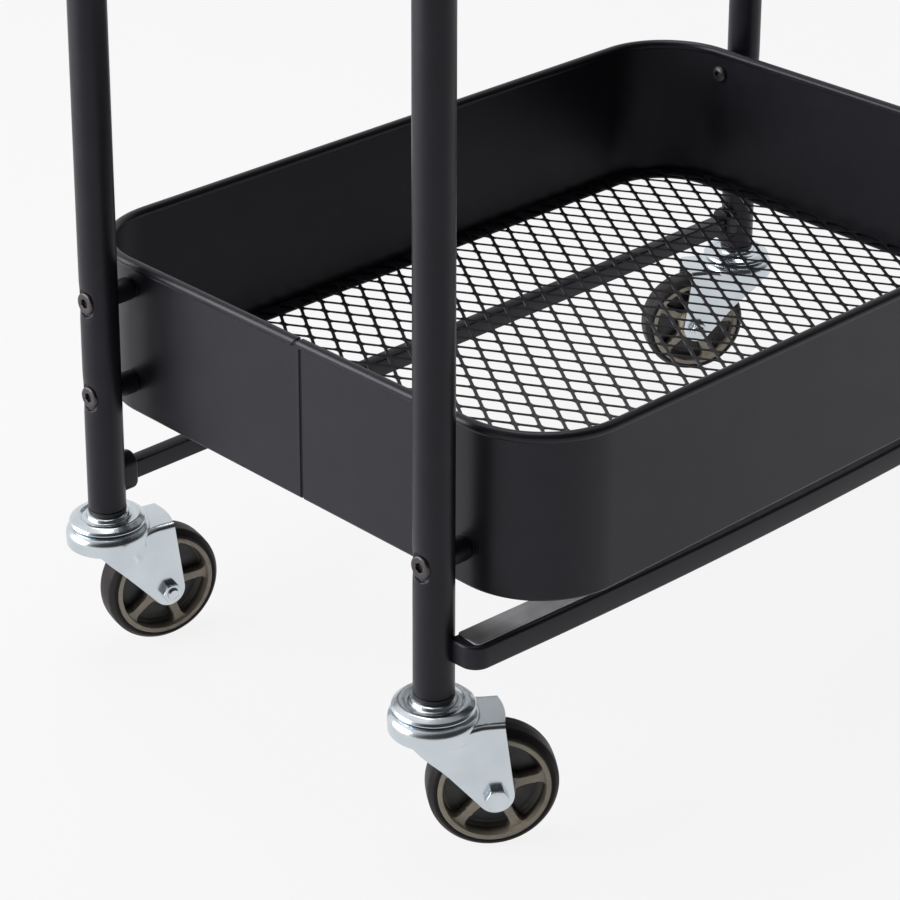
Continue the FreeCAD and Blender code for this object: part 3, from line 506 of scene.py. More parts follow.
def handle_part():
    """A tube led up, round a bend, along the top, round the other bend and down again."""
    sizes = props("frame")
    low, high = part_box("push_handle")
    rail, bend = high.z - sizes.post_radius, sizes.handle_bend
    line = filleted([(-POST_X, low.z, 0), (-POST_X, rail, bend), (POST_X, rail, bend), (POST_X, low.z, 0)],
                    closed=False, steps=25)
    line = line[np.r_[True, np.linalg.norm(np.diff(line, axis=0), axis=1) > SHORTEST]]
    path = np.column_stack([line[:, 0], np.full(len(line), POST_Y), line[:, 1]])
    along = np.gradient(path, axis=0)
    along[0], along[-1] = (0, 0, 1), (0, 0, -1)
    across = np.broadcast_to(np.array([0.0, 1.0, 0.0]), path.shape)
    up = np.cross(scaled(along), across)
    outer, inner = (carried(unit(turn(64)) * radius, path, across, up)
                    for radius in (sizes.post_radius, sizes.post_radius - sizes.post_wall))
    return ring_part(np.concatenate([outer, inner[::-1]]), closed=True)


class CART_OT_posts(bpy.types.Operator):
    """Makes the four posts, with pressed-in seats for their screws, and the push handle"""
    bl_idname = "cart.posts"
    bl_label = "Posts and handle"

    def execute(self, context):
        for name in ("rear_left_post", "rear_right_post", "front_left_post", "front_right_post"):
            body = name.split("_")[0] + "_frame"
            make_piece(f"{name}_tube", [post_part(name)], body, "black_powder_coat", [name], sharp=40)
        make_piece("push_handle_tube", [handle_part()], "rear_frame", "black_powder_coat", ["push_handle"])
        return {"FINISHED"}


# Cap over its post's end, and the ring of the caster's socket: (radius, height, rounding) in millimetres
CAP_PROFILE = [
    (0, -14, 0), (10.6, -14, 0.4), (10.9, -2, 0), (10.9, 0, 0), (12.45, 0.1, 0.1), (12.45, 2.4, 1.2),
    (7.5, 4.6, 3), (0, 5, 0),
]
SOCKET_PROFILE = [
    (5.6, -4.2, 0.2), (12.4, -4.2, 0.6), (12.7, -0.9, 0.4), (11.5, -0.7, 0.1), (11.5, 0.05, 0),
    (10.9, 0.05, 0), (10.9, 40, 0.5), (5.6, 40, 0),
]


class CART_OT_post_ends(bpy.types.Operator):
    """Makes the front posts' caps and the plastic rings of the caster sockets"""
    bl_idname = "cart.post_ends"
    bl_label = "Caps and sockets"

    def execute(self, context):
        base, top = (corner.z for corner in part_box("front_left_post"))
        cap = lathe(filleted(CAP_PROFILE, closed=False) * MM, 64)
        make_piece("front_post_cap_domes", both(moved(cap, (-POST_X, -POST_Y, top))), "front_frame",
                   "black_plastic", ["front_post_caps"])
        ring = lathe(filleted(SOCKET_PROFILE) * MM, 64, closed=True)
        for name, y in FRAME_SIDES:
            make_piece(f"{name}_socket_rings", both(moved(ring, (-POST_X, y, base))), f"{name}_frame",
                       "black_plastic", [f"{name}_stem_sockets"])
        return {"FINISHED"}


# How far a spacer's coped end, and the middle of it, are sunk into the post
COPE_SUNK = 0.3 * MM
COPE_MIDDLE = 0.6 * MM


def spacer_part(wall_x):
    """A round spacer from the tray's wall to the post, its free end rounded, its other end coped:
    the end's x is the post's face, POST_X - sqrt(R^2 - y^2), sunk a little into the tube."""
    sizes = props("frame")
    steps = 56
    cos, sin = unit(turn(steps)).T
    radius, edge = sizes.spacer_radius, sizes.spacer_round
    angle = np.linspace(0, np.pi / 2, 6)
    ring_r = np.r_[0, radius - edge, radius - edge + edge * np.sin(angle), radius]
    ring_x = np.r_[0, 0, edge * (1 - np.cos(angle)), 0] + wall_x
    x = np.repeat(ring_x[:, None], steps, 1)
    x[-1] = POST_X - np.sqrt(sizes.post_radius ** 2 - (radius * cos) ** 2) + COPE_SUNK
    points = np.stack([-x, np.outer(ring_r, cos), np.outer(ring_r, sin)], -1)
    pole = np.repeat([[[-(POST_X - sizes.post_radius) - COPE_MIDDLE, 0, 0]]], steps, 1)
    return ring_part(np.concatenate([points, pole]))


def screw_part(length_below, seat_x):
    """A flat-head screw with a hex socket, head outwards on the left: rings whose radius is round
    outside and goes over to the hexagon at the socket."""
    s = props("screws")
    key = hex_radius(s.key)
    head, top, bevel = s.head_radius, s.head_rise, s.head_bevel
    floor = top - s.key_depth
    rows = [
        (0, -length_below), (s.shank, -length_below), (s.shank, 0), (head - 0.3 * MM, 0), (head, 0.3 * MM),
        (head, top - bevel), (head - bevel * 0.35, top - bevel * 0.4), (head - bevel, top - 0.04 * MM),
        (head - bevel * 1.25, top), (key + 0.5 * MM, top), (key + 0.12 * MM, top - 0.12 * MM),
        (key, top - 0.4 * MM), (key, floor), (0, floor - 0.6 * MM),
    ]
    return moved(lathe(rows), (-seat_x, 0, 0), (0, 1, 0), (0, 0, -1), (-1, 0, 0))


# A button nut's shares: socket to the screws' key, barrel to the head, and the dome's flat top
NUT_KEY = 0.8
NUT_BARREL = 0.64
DOME_TOP = 0.55
# Depth of the barrel under a button head, and height of the head's straight edge
BARREL_DEPTH = 1.9 * MM
DOME_EDGE = 0.6 * MM


def button_part(inside_x):
    """A button-head nut inside the tray, its dome towards the tray's middle: radius R sin a, height
    h cos a down to a hex socket."""
    s = props("screws")
    key = hex_radius(s.key * NUT_KEY)
    barrel, top = s.nut_radius * NUT_BARREL, s.nut_rise
    floor = top - s.key_depth
    slope = math.asin(DOME_TOP)
    dome = np.linspace(np.pi / 2, slope, 8)
    height = DOME_EDGE + (top - DOME_EDGE) * np.cos(dome) / math.cos(slope)
    rows = [(0, -BARREL_DEPTH), (barrel, -BARREL_DEPTH), (barrel, 0), (s.nut_radius, 0)]
    rows += zip(s.nut_radius * np.sin(dome), height)
    rows += [(key + 0.15 * MM, top), (key, top - 0.2 * MM), (key, floor), (0, floor - 0.5 * MM)]
    return moved(lathe(rows), (-inside_x, 0, 0), (0, 1, 0), (0, 0, 1), (1, 0, 0))


# Gap between a pivot's spacer and the tray's bush, and how far a peg reaches past the bush's face
SPACER_GAP = 0.3 * MM
PEG_REACH = 0.5 * MM


def at_trays(part, y, z):
    """A left-hand part at its place by the lower tray and by the upper one, each with its twin."""
    return [twin for lift in (0, TRAY_PITCH) for twin in both(moved(part, (0, y, z + lift)))]


class CART_OT_pivots(bpy.types.Operator):
    """Makes the spacers, flat-head screws, button nuts and steady pegs between posts and trays"""
    bl_idname = "cart.pivots"
    bl_label = "Pivots"

    def execute(self, context):
        sizes = props("frame")
        seat_x = POST_X + sizes.post_radius - sizes.seat_depth
        wall_x = -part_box("lower_tray_bushes")[0].x
        vertices = frame["nodes"]["front_pivot_nuts"].data.vertices
        nut_face = np.empty(len(vertices) * 3)
        vertices.foreach_get("co", nut_face)
        nut_face = nut_face[::3]
        nut_x = -nut_face[nut_face < 0].max() + props("screws").nut_rise
        # Name, frame, place, screw length, the spacer's end and the node that the spacers stand for
        rows = (
            ("rear_pivot", "rear", *REAR_PIVOT[1:], 30 * MM, wall_x + SPACER_GAP, "rear_pivot_spacers"),
            ("front_pivot", "front", *FRONT_PIVOT[1:], 30 * MM, wall_x + SPACER_GAP, "front_pivot_spacers"),
            ("steady_peg", "rear", REAR_PIVOT[1], peg_height(), 26 * MM, wall_x - PEG_REACH, "steady_pegs"),
        )
        for name, side, y, z, shank, end_x, node_name in rows:
            body = f"{side}_frame"
            make_piece(f"{name}_flat_screws", at_trays(screw_part(shank, seat_x), y, z), body,
                       "blackened_screws", [f"{name}_screws"])
            make_piece(f"{name}_round_spacers", at_trays(spacer_part(end_x), y, z), body,
                       "black_powder_coat", [node_name])
            if name != "steady_peg":
                make_piece(f"{name}_button_nuts", at_trays(button_part(nut_x), y, z), body,
                           "blackened_screws", [f"{name}_nuts"])
        return {"FINISHED"}


def front_bar_part():
    """The flat bar seen from above: both long edges bow forwards as y = bow (1 - (x / half)^2), the
    front corners are round, and all edges are rounded."""
    sizes = props("frame")
    low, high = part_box("front_bar")
    end_x, back = high.x, -POST_Y - sizes.bar_reach
    bow, corner = sizes.bar_bow, sizes.bar_corner
    front, half = low.y + bow, end_x - corner
    x = np.linspace(-1, 1, 41)
    front_line = np.column_stack([x * half, front - bow * (1 - x ** 2)])
    back_line = np.column_stack([-x * end_x, back - bow * (1 - x ** 2)])
    angle = np.linspace(0, np.pi / 2, 10)[1:]
    right = np.column_stack([half + corner * np.sin(angle), front + corner * (1 - np.cos(angle))])
    outline = np.concatenate([front_line, right, back_line, right[::-1] * (-1, 1)])
    return slab(outline, low.z, high.z, sizes.bar_edge, 6)


# How far the rear bar runs into its end plates, and how far these stay from the posts' middle
BAR_SUNK = 1 * MM
LOBE_END = 6 * MM


def rear_bar_parts():
    """A small square bar along the cart and a plate with round ends at each post."""
    low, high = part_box("rear_bar")
    plate_low, plate_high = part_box("rear_bar_end_plates")
    centre = (0, *middle("rear_bar")[1:])
    section = round_rectangle((high.y - low.y) / 2, (high.z - low.z) / 2, props("frame").bar_edge * 0.6)
    bar = slab(section, low.x - BAR_SUNK, high.x + BAR_SUNK, 0.1 * MM, 2)
    width, height = (plate_high.y - plate_low.y) / 2, (plate_high.z - plate_low.z) / 2
    lobe = slab(round_rectangle(width, height, width * 0.98, 12), -low.x, POST_X - LOBE_END, 2 * MM)
    return (moved(bar, centre, (0, 1, 0), (0, 0, 1), (1, 0, 0)),
            both(moved(lobe, centre, (0, 1, 0), (0, 0, -1), (-1, 0, 0))))


class CART_OT_bars(bpy.types.Operator):
    """Makes the bowed front bar with its bare plate, and the rear bar with its end plates"""
    bl_idname = "cart.bars"
    bl_label = "Lower bars"

    def execute(self, context):
        make_piece("front_bar_bow", [front_bar_part()], "front_frame", "black_powder_coat", ["front_bar"])
        low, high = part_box("bar_plate")
        sizes = props("frame")
        outline = round_rectangle(sizes.plate_length / 2, sizes.plate_width / 2, 3 * MM)
        cos, sin = math.cos(sizes.plate_turn), math.sin(sizes.plate_turn)
        plate = moved(slab(outline, low.z, high.z, 0.25 * MM, 3), (*middle("bar_plate")[:2], 0),
                      (cos, sin, 0), (-sin, cos, 0))
        make_piece("bar_plate_bare", [plate], "front_frame", "bare_plate", ["bar_plate"])
        bar, lobes = rear_bar_parts()
        make_piece("rear_bar_tube", [bar], "rear_frame", "black_powder_coat", ["rear_bar"])
        make_piece("rear_bar_lobes", lobes, "rear_frame", "black_powder_coat", ["rear_bar_end_plates"])
        return {"FINISHED"}


# Trays

# Crease under the rolled rim: how far in it lies, and how far below the bead
CREASE_IN = 0.05 * MM
CREASE_BELOW = 0.25 * MM


def tray_profile(height):
    """The band's section as (outwards from the outer wall, up): flange, bottom bend, wall, rolled
    bead and the inner face back down. Also gives each outer point's normal and its slant, for the seam."""
    s = props("tray")
    bead, sheet, bend = s.bead / 2, s.sheet, s.bottom_bend
    start = math.asin(sheet / 2 / bead)
    bent = unit(np.pi * (1.5 + np.linspace(0, 1, 8) / 2))
    rolled = unit(np.linspace(start - np.pi / 2, 1.5 * np.pi - start, 33))
    outside = bend * bent + (-bend, bend)
    inside = (bend - sheet) * bent[::-1] + (-bend, bend)
    rim = bead * rolled + (-sheet / 2, height - bead)
    crease = [[-CREASE_IN, rim[0, 1] - CREASE_BELOW]]
    edge = -sheet - s.flange
    section = np.concatenate([[[edge, 0]], outside, crease, rim, inside, [[edge, sheet]]])
    normal = np.concatenate([[[0, -1]], bent, [[1, 0]], rolled, np.zeros((len(inside) + 1, 2))])
    slant = np.r_[np.zeros(len(outside) + 2), (1 - rolled[:, 1]) / 2, np.zeros(len(inside) + 1)]
    return section, normal, slant


# Rows of the band round the seam, and how far the seam runs sideways over the rim
SEAM_ROWS = np.arange(6, -6.01, -0.15) * MM
SEAM_SLANT = 5 * MM


def tray_wall_part(name):
    """The band carried round a rounded rectangle. A seam on the left short wall is a narrow groove
    exp(-(distance / half width)^8) sunk along the section's normal, slanting where it crosses the rim."""
    s = props("tray")
    low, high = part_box(name)
    proud = s.bead / 2 - s.sheet / 2
    half_x, half_y = high.x - proud, high.y - proud
    section, sunk, slant = tray_profile(high.z - low.z)
    normal = unit(np.linspace(0, np.pi / 2, 29)[None] + np.radians([-90, 0, 90, 180])[:, None])
    centres = np.array([(half_x, -half_y), (half_x, half_y), (-half_x, half_y), (-half_x, -half_y)])
    centres -= np.sign(centres) * s.corner
    path = centres[:, None] + normal * s.corner
    seam = np.column_stack([np.full(len(SEAM_ROWS), -half_x), s.seam_place + SEAM_ROWS])
    path = np.concatenate([path[:3].reshape(-1, 2), seam, path[3]])
    normal = np.concatenate([normal[:3].reshape(-1, 2), np.tile([[-1.0, 0.0]], (len(seam), 1)), normal[3]])
    base = np.column_stack([path, np.full(len(path), low.z)])
    outward = np.column_stack([normal, np.zeros(len(normal))])
    up = np.broadcast_to(np.array([0.0, 0.0, 1.0]), base.shape)
    left = (normal[:, 0] < -0.999)[:, None]
    away = path[:, 1:2] - s.seam_place - slant[None] * SEAM_SLANT
    groove = np.exp(-(away / (s.seam_width / 2)) ** 8) * s.seam_depth * left
    points = carried(section, base, outward, up) - groove[..., None] * carried(sunk, 0 * base, outward, up)
    return ring_part(points, closed=True)


def clamped(points, half_x, half_y, radius):
    """Points held inside a rounded rectangle: a point beyond it goes to the nearest edge point."""
    core = np.stack([np.clip(points[..., 0], radius - half_x, half_x - radius),
                     np.clip(points[..., 1], radius - half_y, half_y - radius)], -1)
    away = points - core
    distance = np.linalg.norm(away, axis=-1, keepdims=True)
    return core + away * np.minimum(1, radius / np.maximum(distance, 1e-12)), distance[..., 0] > radius


# Points of an opening along each side of its diamond, as shares, and how far its tips are drawn in
OPENING_SHARES = (0, 0.16, 0.84)
TIP_SHARE = 0.9
# Least width of the mesh's border, the mesh's height over its node's base, and how near two middles of
# edges lie to be one edge
BORDER = 2 * MM
MESH_LIFT = 0.4 * MM
SAME_EDGE = 0.05 * MM


def tray_mesh_part(name):
    """Expanded metal: one cell is a diamond ring between the strands' middle lines and an opening with
    blunt tips. The rows are skewed, y - skew x, and a strand tilts, as its left and right edge differ in
    height. Cells that cross the border are held to it, and the border's edge is closed."""
    s = props("tray")
    low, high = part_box(name)
    half_x, half_y, radius = high.x, high.y, s.corner - s.sheet
    a, b = s.mesh_short / 2, s.mesh_long / 2
    columns, rows = int(half_x / a) + 2, int((half_y + s.mesh_skew * half_x) / b) + 2
    i, j = np.meshgrid(np.arange(-columns, columns + 1), np.arange(-rows, rows + 1), indexing="ij")
    even = (i + j) % 2 == 0
    centre = np.column_stack([i[even] * a, j[even] * b])
    share = np.array(OPENING_SHARES)[:, None]
    tips = np.array([(a, 0), (0, b), (-a, 0), (0, -b)])
    ring = tips[:, None] * (1 - share) + np.roll(tips, -1, 0)[:, None] * share
    # The opening: half a strand is taken off each side, and the tips are drawn in
    keep = 1 - s.mesh_strand * math.hypot(a, b) / (2 * a * b)
    hole = ring * keep * np.where(share == 0, TIP_SHARE, 1.0)
    lean = np.array([(1, -s.mesh_skew), (0, 1)])
    centre, ring, hole = (flat.reshape(-1, 2) @ lean for flat in (centre, ring, hole))
    outer = centre[:, None] + ring[None]
    outer_in, beyond = clamped(outer, half_x, half_y, radius)
    kept = ~beyond.all(1)
    outer, outer_in, centre = outer[kept], outer_in[kept], centre[kept]
    within = (half_x - BORDER, half_y - BORDER, radius - BORDER)
    inner_in, _ = clamped(centre[:, None] + hole[None], *within)
    centre_in, outside = clamped(centre[:, None], *within)
    inner_in = np.where(outside[..., None], centre_in, inner_in)
    tilt = s.mesh_tilt / 2 * np.sign(hole[:, 0]) * np.abs(hole[:, 0] / (a * keep)) ** 0.5
    tilt = np.where(outside, 0, np.broadcast_to(tilt, inner_in.shape[:2]))
    bottom = low.z + MESH_LIFT
    top = bottom + s.mesh_sheet

    def level(flat, height):
        return np.concatenate([flat, np.broadcast_to(height, flat.shape[:2])[..., None]], -1)

    rings = np.stack([level(outer_in, top), level(inner_in, top + tilt),
                      level(inner_in, bottom + tilt), level(outer_in, bottom)], 1)
    cells, _, count = rings.shape[:3]
    faces = grid_faces(4, count, wrap_columns=True)[None] + (np.arange(cells) * 4 * count)[:, None, None]
    # Edges that only one cell has make the border: they get a wall from top to bottom
    mids = np.round((outer + np.roll(outer, -1, 1)) / 2 / SAME_EDGE).astype(int).reshape(-1, 2)
    _, which, uses = np.unique(mids, axis=0, return_inverse=True, return_counts=True)
    cell, edge = np.nonzero((uses[which.ravel()] == 1).reshape(cells, count))
    start, after = cell * 4 * count, (edge + 1) % count
    under = start + 3 * count
    wall = np.column_stack([start + edge, start + after, under + after, under + edge])
    return rings.reshape(-1, 3), [faces.reshape(-1, 4), wall]


class CART_OT_trays(bpy.types.Operator):
    """Makes the trays' walls with rolled rims and a seam, and their expanded-metal floors"""
    bl_idname = "cart.trays"
    bl_label = "Trays"

    def execute(self, context):
        for tray in TRAYS:
            wall, net = f"{tray}_tray_wall", f"{tray}_tray_mesh"
            make_piece(f"{tray}_tray_band", [tray_wall_part(wall)], f"{tray}_tray", "black_powder_coat",
                       [wall], sharp=38)
            make_piece(f"{tray}_tray_floor", [tray_mesh_part(net)], f"{tray}_tray", "black_powder_coat",
                       [net], sharp=50)
        return {"FINISHED"}


# Casters. Own axes: X along the trail, Y along the axle, Z up, from the floor under the swivel axis.

# Sections turned about the swivel axis, as (radius, height, rounding) in millimetres.
# Upper race with stem and riveted kingpin
STEM_PROFILE = [
    (0, 77.6, 0), (9.6, 77.6, 1.2), (10, 80.2, 0.6), (6, 80.6, 0.3), (6, 93.4, 0.3), (16, 93.4, 0.3),
    (16.5, 94.2, 0.3), (25, 94.2, 0.3), (25.6, 95, 0.6), (24.7, 96.8, 1.4), (21.2, 99.2, 2.6),
    (18.6, 98.9, 1.4), (16.6, 97.4, 1.6), (14.2, 98.2, 1.0), (13.5, 100.1, 0.8), (12.2, 100.75, 0.3),
    (5.5, 100.8, 0.3), (5.5, 140, 1), (0, 140, 0),
]
# The yoke's head: its rim over the legs
CUP_PROFILE = [
    (25.4, 80.0, 0.3), (27.6, 80.0, 0.4), (27.9, 92.8, 6.0), (14, 92.8, 0.5), (14, 90.6, 0.3),
    (24.8, 90.2, 2.0),
]
# Lower race under the yoke's head
RACE_PROFILE = [
    (6.4, 80.9, 0.2), (16.2, 80.9, 1.4), (19.4, 82.0, 1.2), (20.3, 86.4, 0.3), (18.6, 86.4, 0.3),
    (17.6, 83.6, 1.0), (15.6, 82.5, 1.0), (6.4, 82.5, 0.2),
]


def at_caster(part, name):
    """A part drawn in a caster's own axes, put in its place."""
    swivel = spot(f"{name}_swivel")
    trail = spot(f"{name}_wheel_spin") - swivel
    trail[2] = 0
    trail /= np.linalg.norm(trail)
    return moved(part, (*swivel[:2], 0), trail, (-trail[1], trail[0], 0))


# Rise over run of a leg's front edge, and run over rise of its back edge
FRONT_SLOPE = 1.122
BACK_LEAN = 0.13
# Heights between which a leg flares out to the head, and how far behind the swivel axis the flare fades
FLARE_HEIGHTS = (54 * MM, 86 * MM)
FLARE_FADE = 31 * MM
# How far the sheet stays inside the head's edge at its sides and in front, and the bulge of its back edge
HEAD_GAP = 0.1 * MM
FRONT_GAP = 0.3 * MM
BACK_BULGE = 1.9 * MM


def yoke_surface(depth):
    """The yoke's sheet, outer face at depth 0: rows run from a leg's end up its face, over the bend
    and along the flat bridge to the middle, and columns from the front edge to the back edge.

    The leg's end is a circle about the axle, and its front and back edges are tangents of it that
    lean back and forwards. Upwards the half width goes over from the legs' plane to the
    round head: y = leg + k (sqrt(cup^2 - x^2) - leg), with k a smooth step of the height. Behind the
    swivel axis the flare fades out as cos(x)^2."""
    s = props("casters")
    axle_x, axle_z, end, bend = TRAIL, s.wheel_radius, s.yoke_end, s.yoke_bend
    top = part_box("front_left_caster_fork")[1].z - s.head_rise
    low_rows = axle_z - end * np.cos(np.linspace(0, np.pi / 2, 14))
    z = np.r_[low_rows, np.linspace(axle_z, top - bend, 40)[1:]]
    round_off = np.sqrt(np.maximum(end ** 2 - (z - axle_z) ** 2, 0))
    slope, lean = math.atan(FRONT_SLOPE), math.atan(BACK_LEAN)
    front_x, front_z = axle_x - end * math.sin(slope), axle_z - end * math.cos(slope)
    front = np.where(z < front_z, axle_x - round_off, front_x - (z - front_z) / FRONT_SLOPE)
    front = np.maximum(front, FRONT_GAP - s.cup)
    back_x, back_z = axle_x + end * math.cos(lean), axle_z + end * math.sin(lean)
    back = np.where(z < back_z, axle_x + round_off, back_x - BACK_LEAN * (z - back_z))
    # Bend and bridge go on from the leg's top
    arc = np.linspace(0, np.pi / 2, 9)[1:]
    flat = np.linspace(0, 1, 14)[1:]
    more = len(arc) + len(flat)
    z_all = np.r_[z, top - bend + (bend - depth) * np.sin(arc), np.full(len(flat), top - depth)]
    fall = np.r_[np.full(len(z), depth), bend - (bend - depth) * np.cos(arc), np.full(len(flat), bend)]
    over = np.r_[np.ones(len(z) + len(arc)), 1 - flat]
    front = np.r_[front, np.full(more, front[-1])]
    back = np.r_[back, np.full(more, back[-1])] + BACK_BULGE * (1 - over ** 2)
    u = np.linspace(0, 1, 40)[None]
    x = front[:, None] * (1 - u) + back[:, None] * u
    head = s.cup - HEAD_GAP
    k = smooth_step(z_all, *FLARE_HEIGHTS)[:, None]
    fade = np.cos(np.pi / 2 * np.clip(x / FLARE_FADE, 0, 1)) ** 2
    flare = np.where(x > 0, (head - s.yoke_half) * fade,
                     np.sqrt(np.maximum(head ** 2 - x ** 2, 0)) - s.yoke_half)
    y = np.maximum(s.yoke_half + k * flare - fall[:, None], 0) * over[:, None]
    return np.stack([x, y, np.broadcast_to(z_all[:, None], x.shape)], -1)


def thick(outer, inner):
    """A closed shell between two grids: both faces and the strips along their four borders."""
    rows, columns = outer.shape[:2]
    count = rows * columns
    index = np.arange(count).reshape(rows, columns)
    loop = np.concatenate([index[0, :-1], index[:-1, -1], index[-1, :0:-1], index[:0:-1, 0]])
    after = np.roll(loop, -1)
    strip = np.column_stack([loop, after, after + count, loop + count])
    faces = grid_faces(rows, columns)
    points = np.concatenate([outer.reshape(-1, 3), inner.reshape(-1, 3)])
    return points, [faces, faces[:, ::-1] + count, strip]


def yoke_parts():
    """The yoke: the folded sheet over both sides, its round head and the lower race."""
    sheets = [yoke_surface(depth) for depth in (0.0, props("casters").yoke_sheet)]
    sheets = [np.concatenate([half, (half * (1, -1, 1))[-2::-1]]) for half in sheets]
    return [thick(*sheets), lathe(filleted(CUP_PROFILE, steps=7) * MM, 96, closed=True),
            lathe(filleted(RACE_PROFILE, steps=5) * MM, 96, closed=True)]


# Which leg carries the axle bolt's head: -1 or 1 along the caster's own Y axis
HEAD_SIDE = {"rear_left": 1, "rear_right": -1, "front_left": -1, "front_right": -1}
# How far each wheel happens to be turned, in degrees
WHEEL_TURN = {"rear_left": 2, "rear_right": 30, "front_left": 10, "front_right": 50}
# Axle bolt: heights of its head, the dish in that, the nut and the end beyond it, radius of the shank, the
# nut's share of the head's width, and a hexagon's flat top as a share of its width
BOLT_HEAD = 5.3 * MM
BOLT_DISH = 0.2 * MM
BOLT_NUT = 5.2 * MM
BOLT_END = 1.8 * MM
BOLT_SHANK = 4 * MM
NUT_SHARE = 0.92
CROWN_SHARE = 0.94


def hexagon_rows(flats, low, high):
    """A hexagon's rows from its seat to its flat top: the corners are cut by a cone of 30 degrees."""
    hexagon, crown = hex_radius(flats), flats / 2 * CROWN_SHARE
    fall = (hexagon - crown) * math.tan(math.radians(30))
    return [(hexagon, low), (hexagon, high - fall), (crown, high)]


def bolt_part():
    """Axle bolt and nut along Z, the head on top: head, shank through both legs, nut and the bolt's
    rounded end, as rows of one lathe."""
    s = props("casters")
    half, shank = s.yoke_half, BOLT_SHANK
    under = half + BOLT_NUT
    tip = under + BOLT_END
    rows = [(0, half + BOLT_HEAD - BOLT_DISH)] + hexagon_rows(s.hex_flats, half, half + BOLT_HEAD)[::-1]
    rows += [(shank, half), (shank, -half)]
    rows += [(r, -z) for r, z in hexagon_rows(s.hex_flats * NUT_SHARE, half, under)]
    rows += [(shank * 1.06, -under), (shank * 0.97, 0.3 * MM - under), (shank * 0.97, 0.9 * MM - tip),
             (shank * 0.72, -tip), (0, -tip)]
    return lathe(rows)


# Bore of the wheel's hub and the slope of its face, half the width of soft edges on spokes and ring, and
# the spokes' widening at ring and hub, with how far it fades
HUB_BORE = 5.6 * MM
HUB_FALL = 0.2
SOFT_EDGE = 0.35 * MM
RING_WIDENING = 3.6 * MM
HUB_WIDENING = 2.6 * MM
WIDENING_FADE = 1.5 * MM


def core_part(name):
    """The wheel's core as a height over a polar grid, on both sides: hub, ring with rounded edges,
    and spokes that widen at both ends as exp(-distance / fade), above a thin web."""
    s = props("casters")
    outer = s.wheel_radius - s.tread
    inner, hub, bore = outer - s.ring, s.hub, HUB_BORE
    # Radii are closest where the height changes: each stretch's start and its number of rows
    stops = [(bore, 5), (hub - 1.2 * MM, 8), (hub + 1.2 * MM, 26), (inner - 1.6 * MM, 10),
             (inner + 0.8 * MM, 5), (outer, 1)]
    r = np.concatenate([np.linspace(start, end, count, endpoint=False)
                        for (start, count), (end, _) in zip(stops, stops[1:])] + [[outer]])[:, None]
    angle = turn(300)
    step = 2 * np.pi / s.spokes
    local = (angle - math.radians(WHEEL_TURN[name]) + step / 2) % step - step / 2
    off = np.abs(r * np.sin(local)[None])
    waist = (s.spoke + RING_WIDENING * np.exp(-(inner - r) / WIDENING_FADE)
             + HUB_WIDENING * np.exp(-(r - hub) / WIDENING_FADE))
    spoke = 1 - smooth_step(off, waist - SOFT_EDGE, waist + SOFT_EDGE)
    on_hub = 1 - smooth_step(r, hub - 0.5 * MM, hub + 0.5 * MM)
    on_ring = smooth_step(r, inner - SOFT_EDGE, inner + SOFT_EDGE)
    spoke_top = s.wheel_half - s.spoke_recess
    hub_top = s.yoke_half - s.yoke_sheet - 0.3 * MM - HUB_FALL * (r - bore)
    floor = s.web_half + 1.5 * MM * smooth_step(r, inner - 4 * MM, inner)
    height = floor + (spoke_top - floor) * spoke
    height = height + (hub_top - height) * on_hub
    height = height + (s.wheel_half - height) * on_ring
    height = height - 0.5 * MM * smooth_step(r, outer - 0.6 * MM, outer)
    height = height - 0.6 * MM * (1 - smooth_step(r, bore, bore + 1 * MM))
    # Share of painted shade: 0 on the spokes' faces and the ring, rising towards 1 down on the web between the
    # spokes
    recess = np.clip((spoke_top - height) / (spoke_top - s.web_half), 0, 1) ** 0.6
    face = np.stack([r * np.cos(angle)[None], r * np.sin(angle)[None], height], -1)
    part = ring_part(np.concatenate([face, (face * (1, 1, -1))[::-1]]), closed=True)
    return part, np.concatenate([recess, recess[::-1]]).ravel()


def tread_part():
    """The tread as a turned ring: a crowned face, wide round shoulders and flat sides by the core."""
    s = props("casters")
    outer, half = s.wheel_radius, s.wheel_half
    side = [(outer - s.tread, half, 0.3 * MM), (outer - 3.4 * MM, half, 2.6 * MM),
            (outer - 0.25 * MM, half - 4.2 * MM, 4.5 * MM)]
    section = [(r, -z, edge) for r, z, edge in side] + [(outer, 0, 20 * MM)] + side[::-1]
    return lathe(filleted(section, steps=8), 160, closed=True)


class CART_OT_caster_stems(bpy.types.Operator):
    """Makes the dished upper races with stems and kingpins"""
    bl_idname = "cart.caster_stems"
    bl_label = "Caster stems"

    def execute(self, context):
        stem = lathe(filleted(STEM_PROFILE, closed=False, steps=7) * MM, 96)
        for name, y in FRAME_SIDES:
            make_piece(f"{name}_stem_races", both(moved(stem, (-POST_X, y, 0))), f"{name}_frame",
                       "zinc_plated_steel", [f"{name}_caster_stems"])
        return {"FINISHED"}


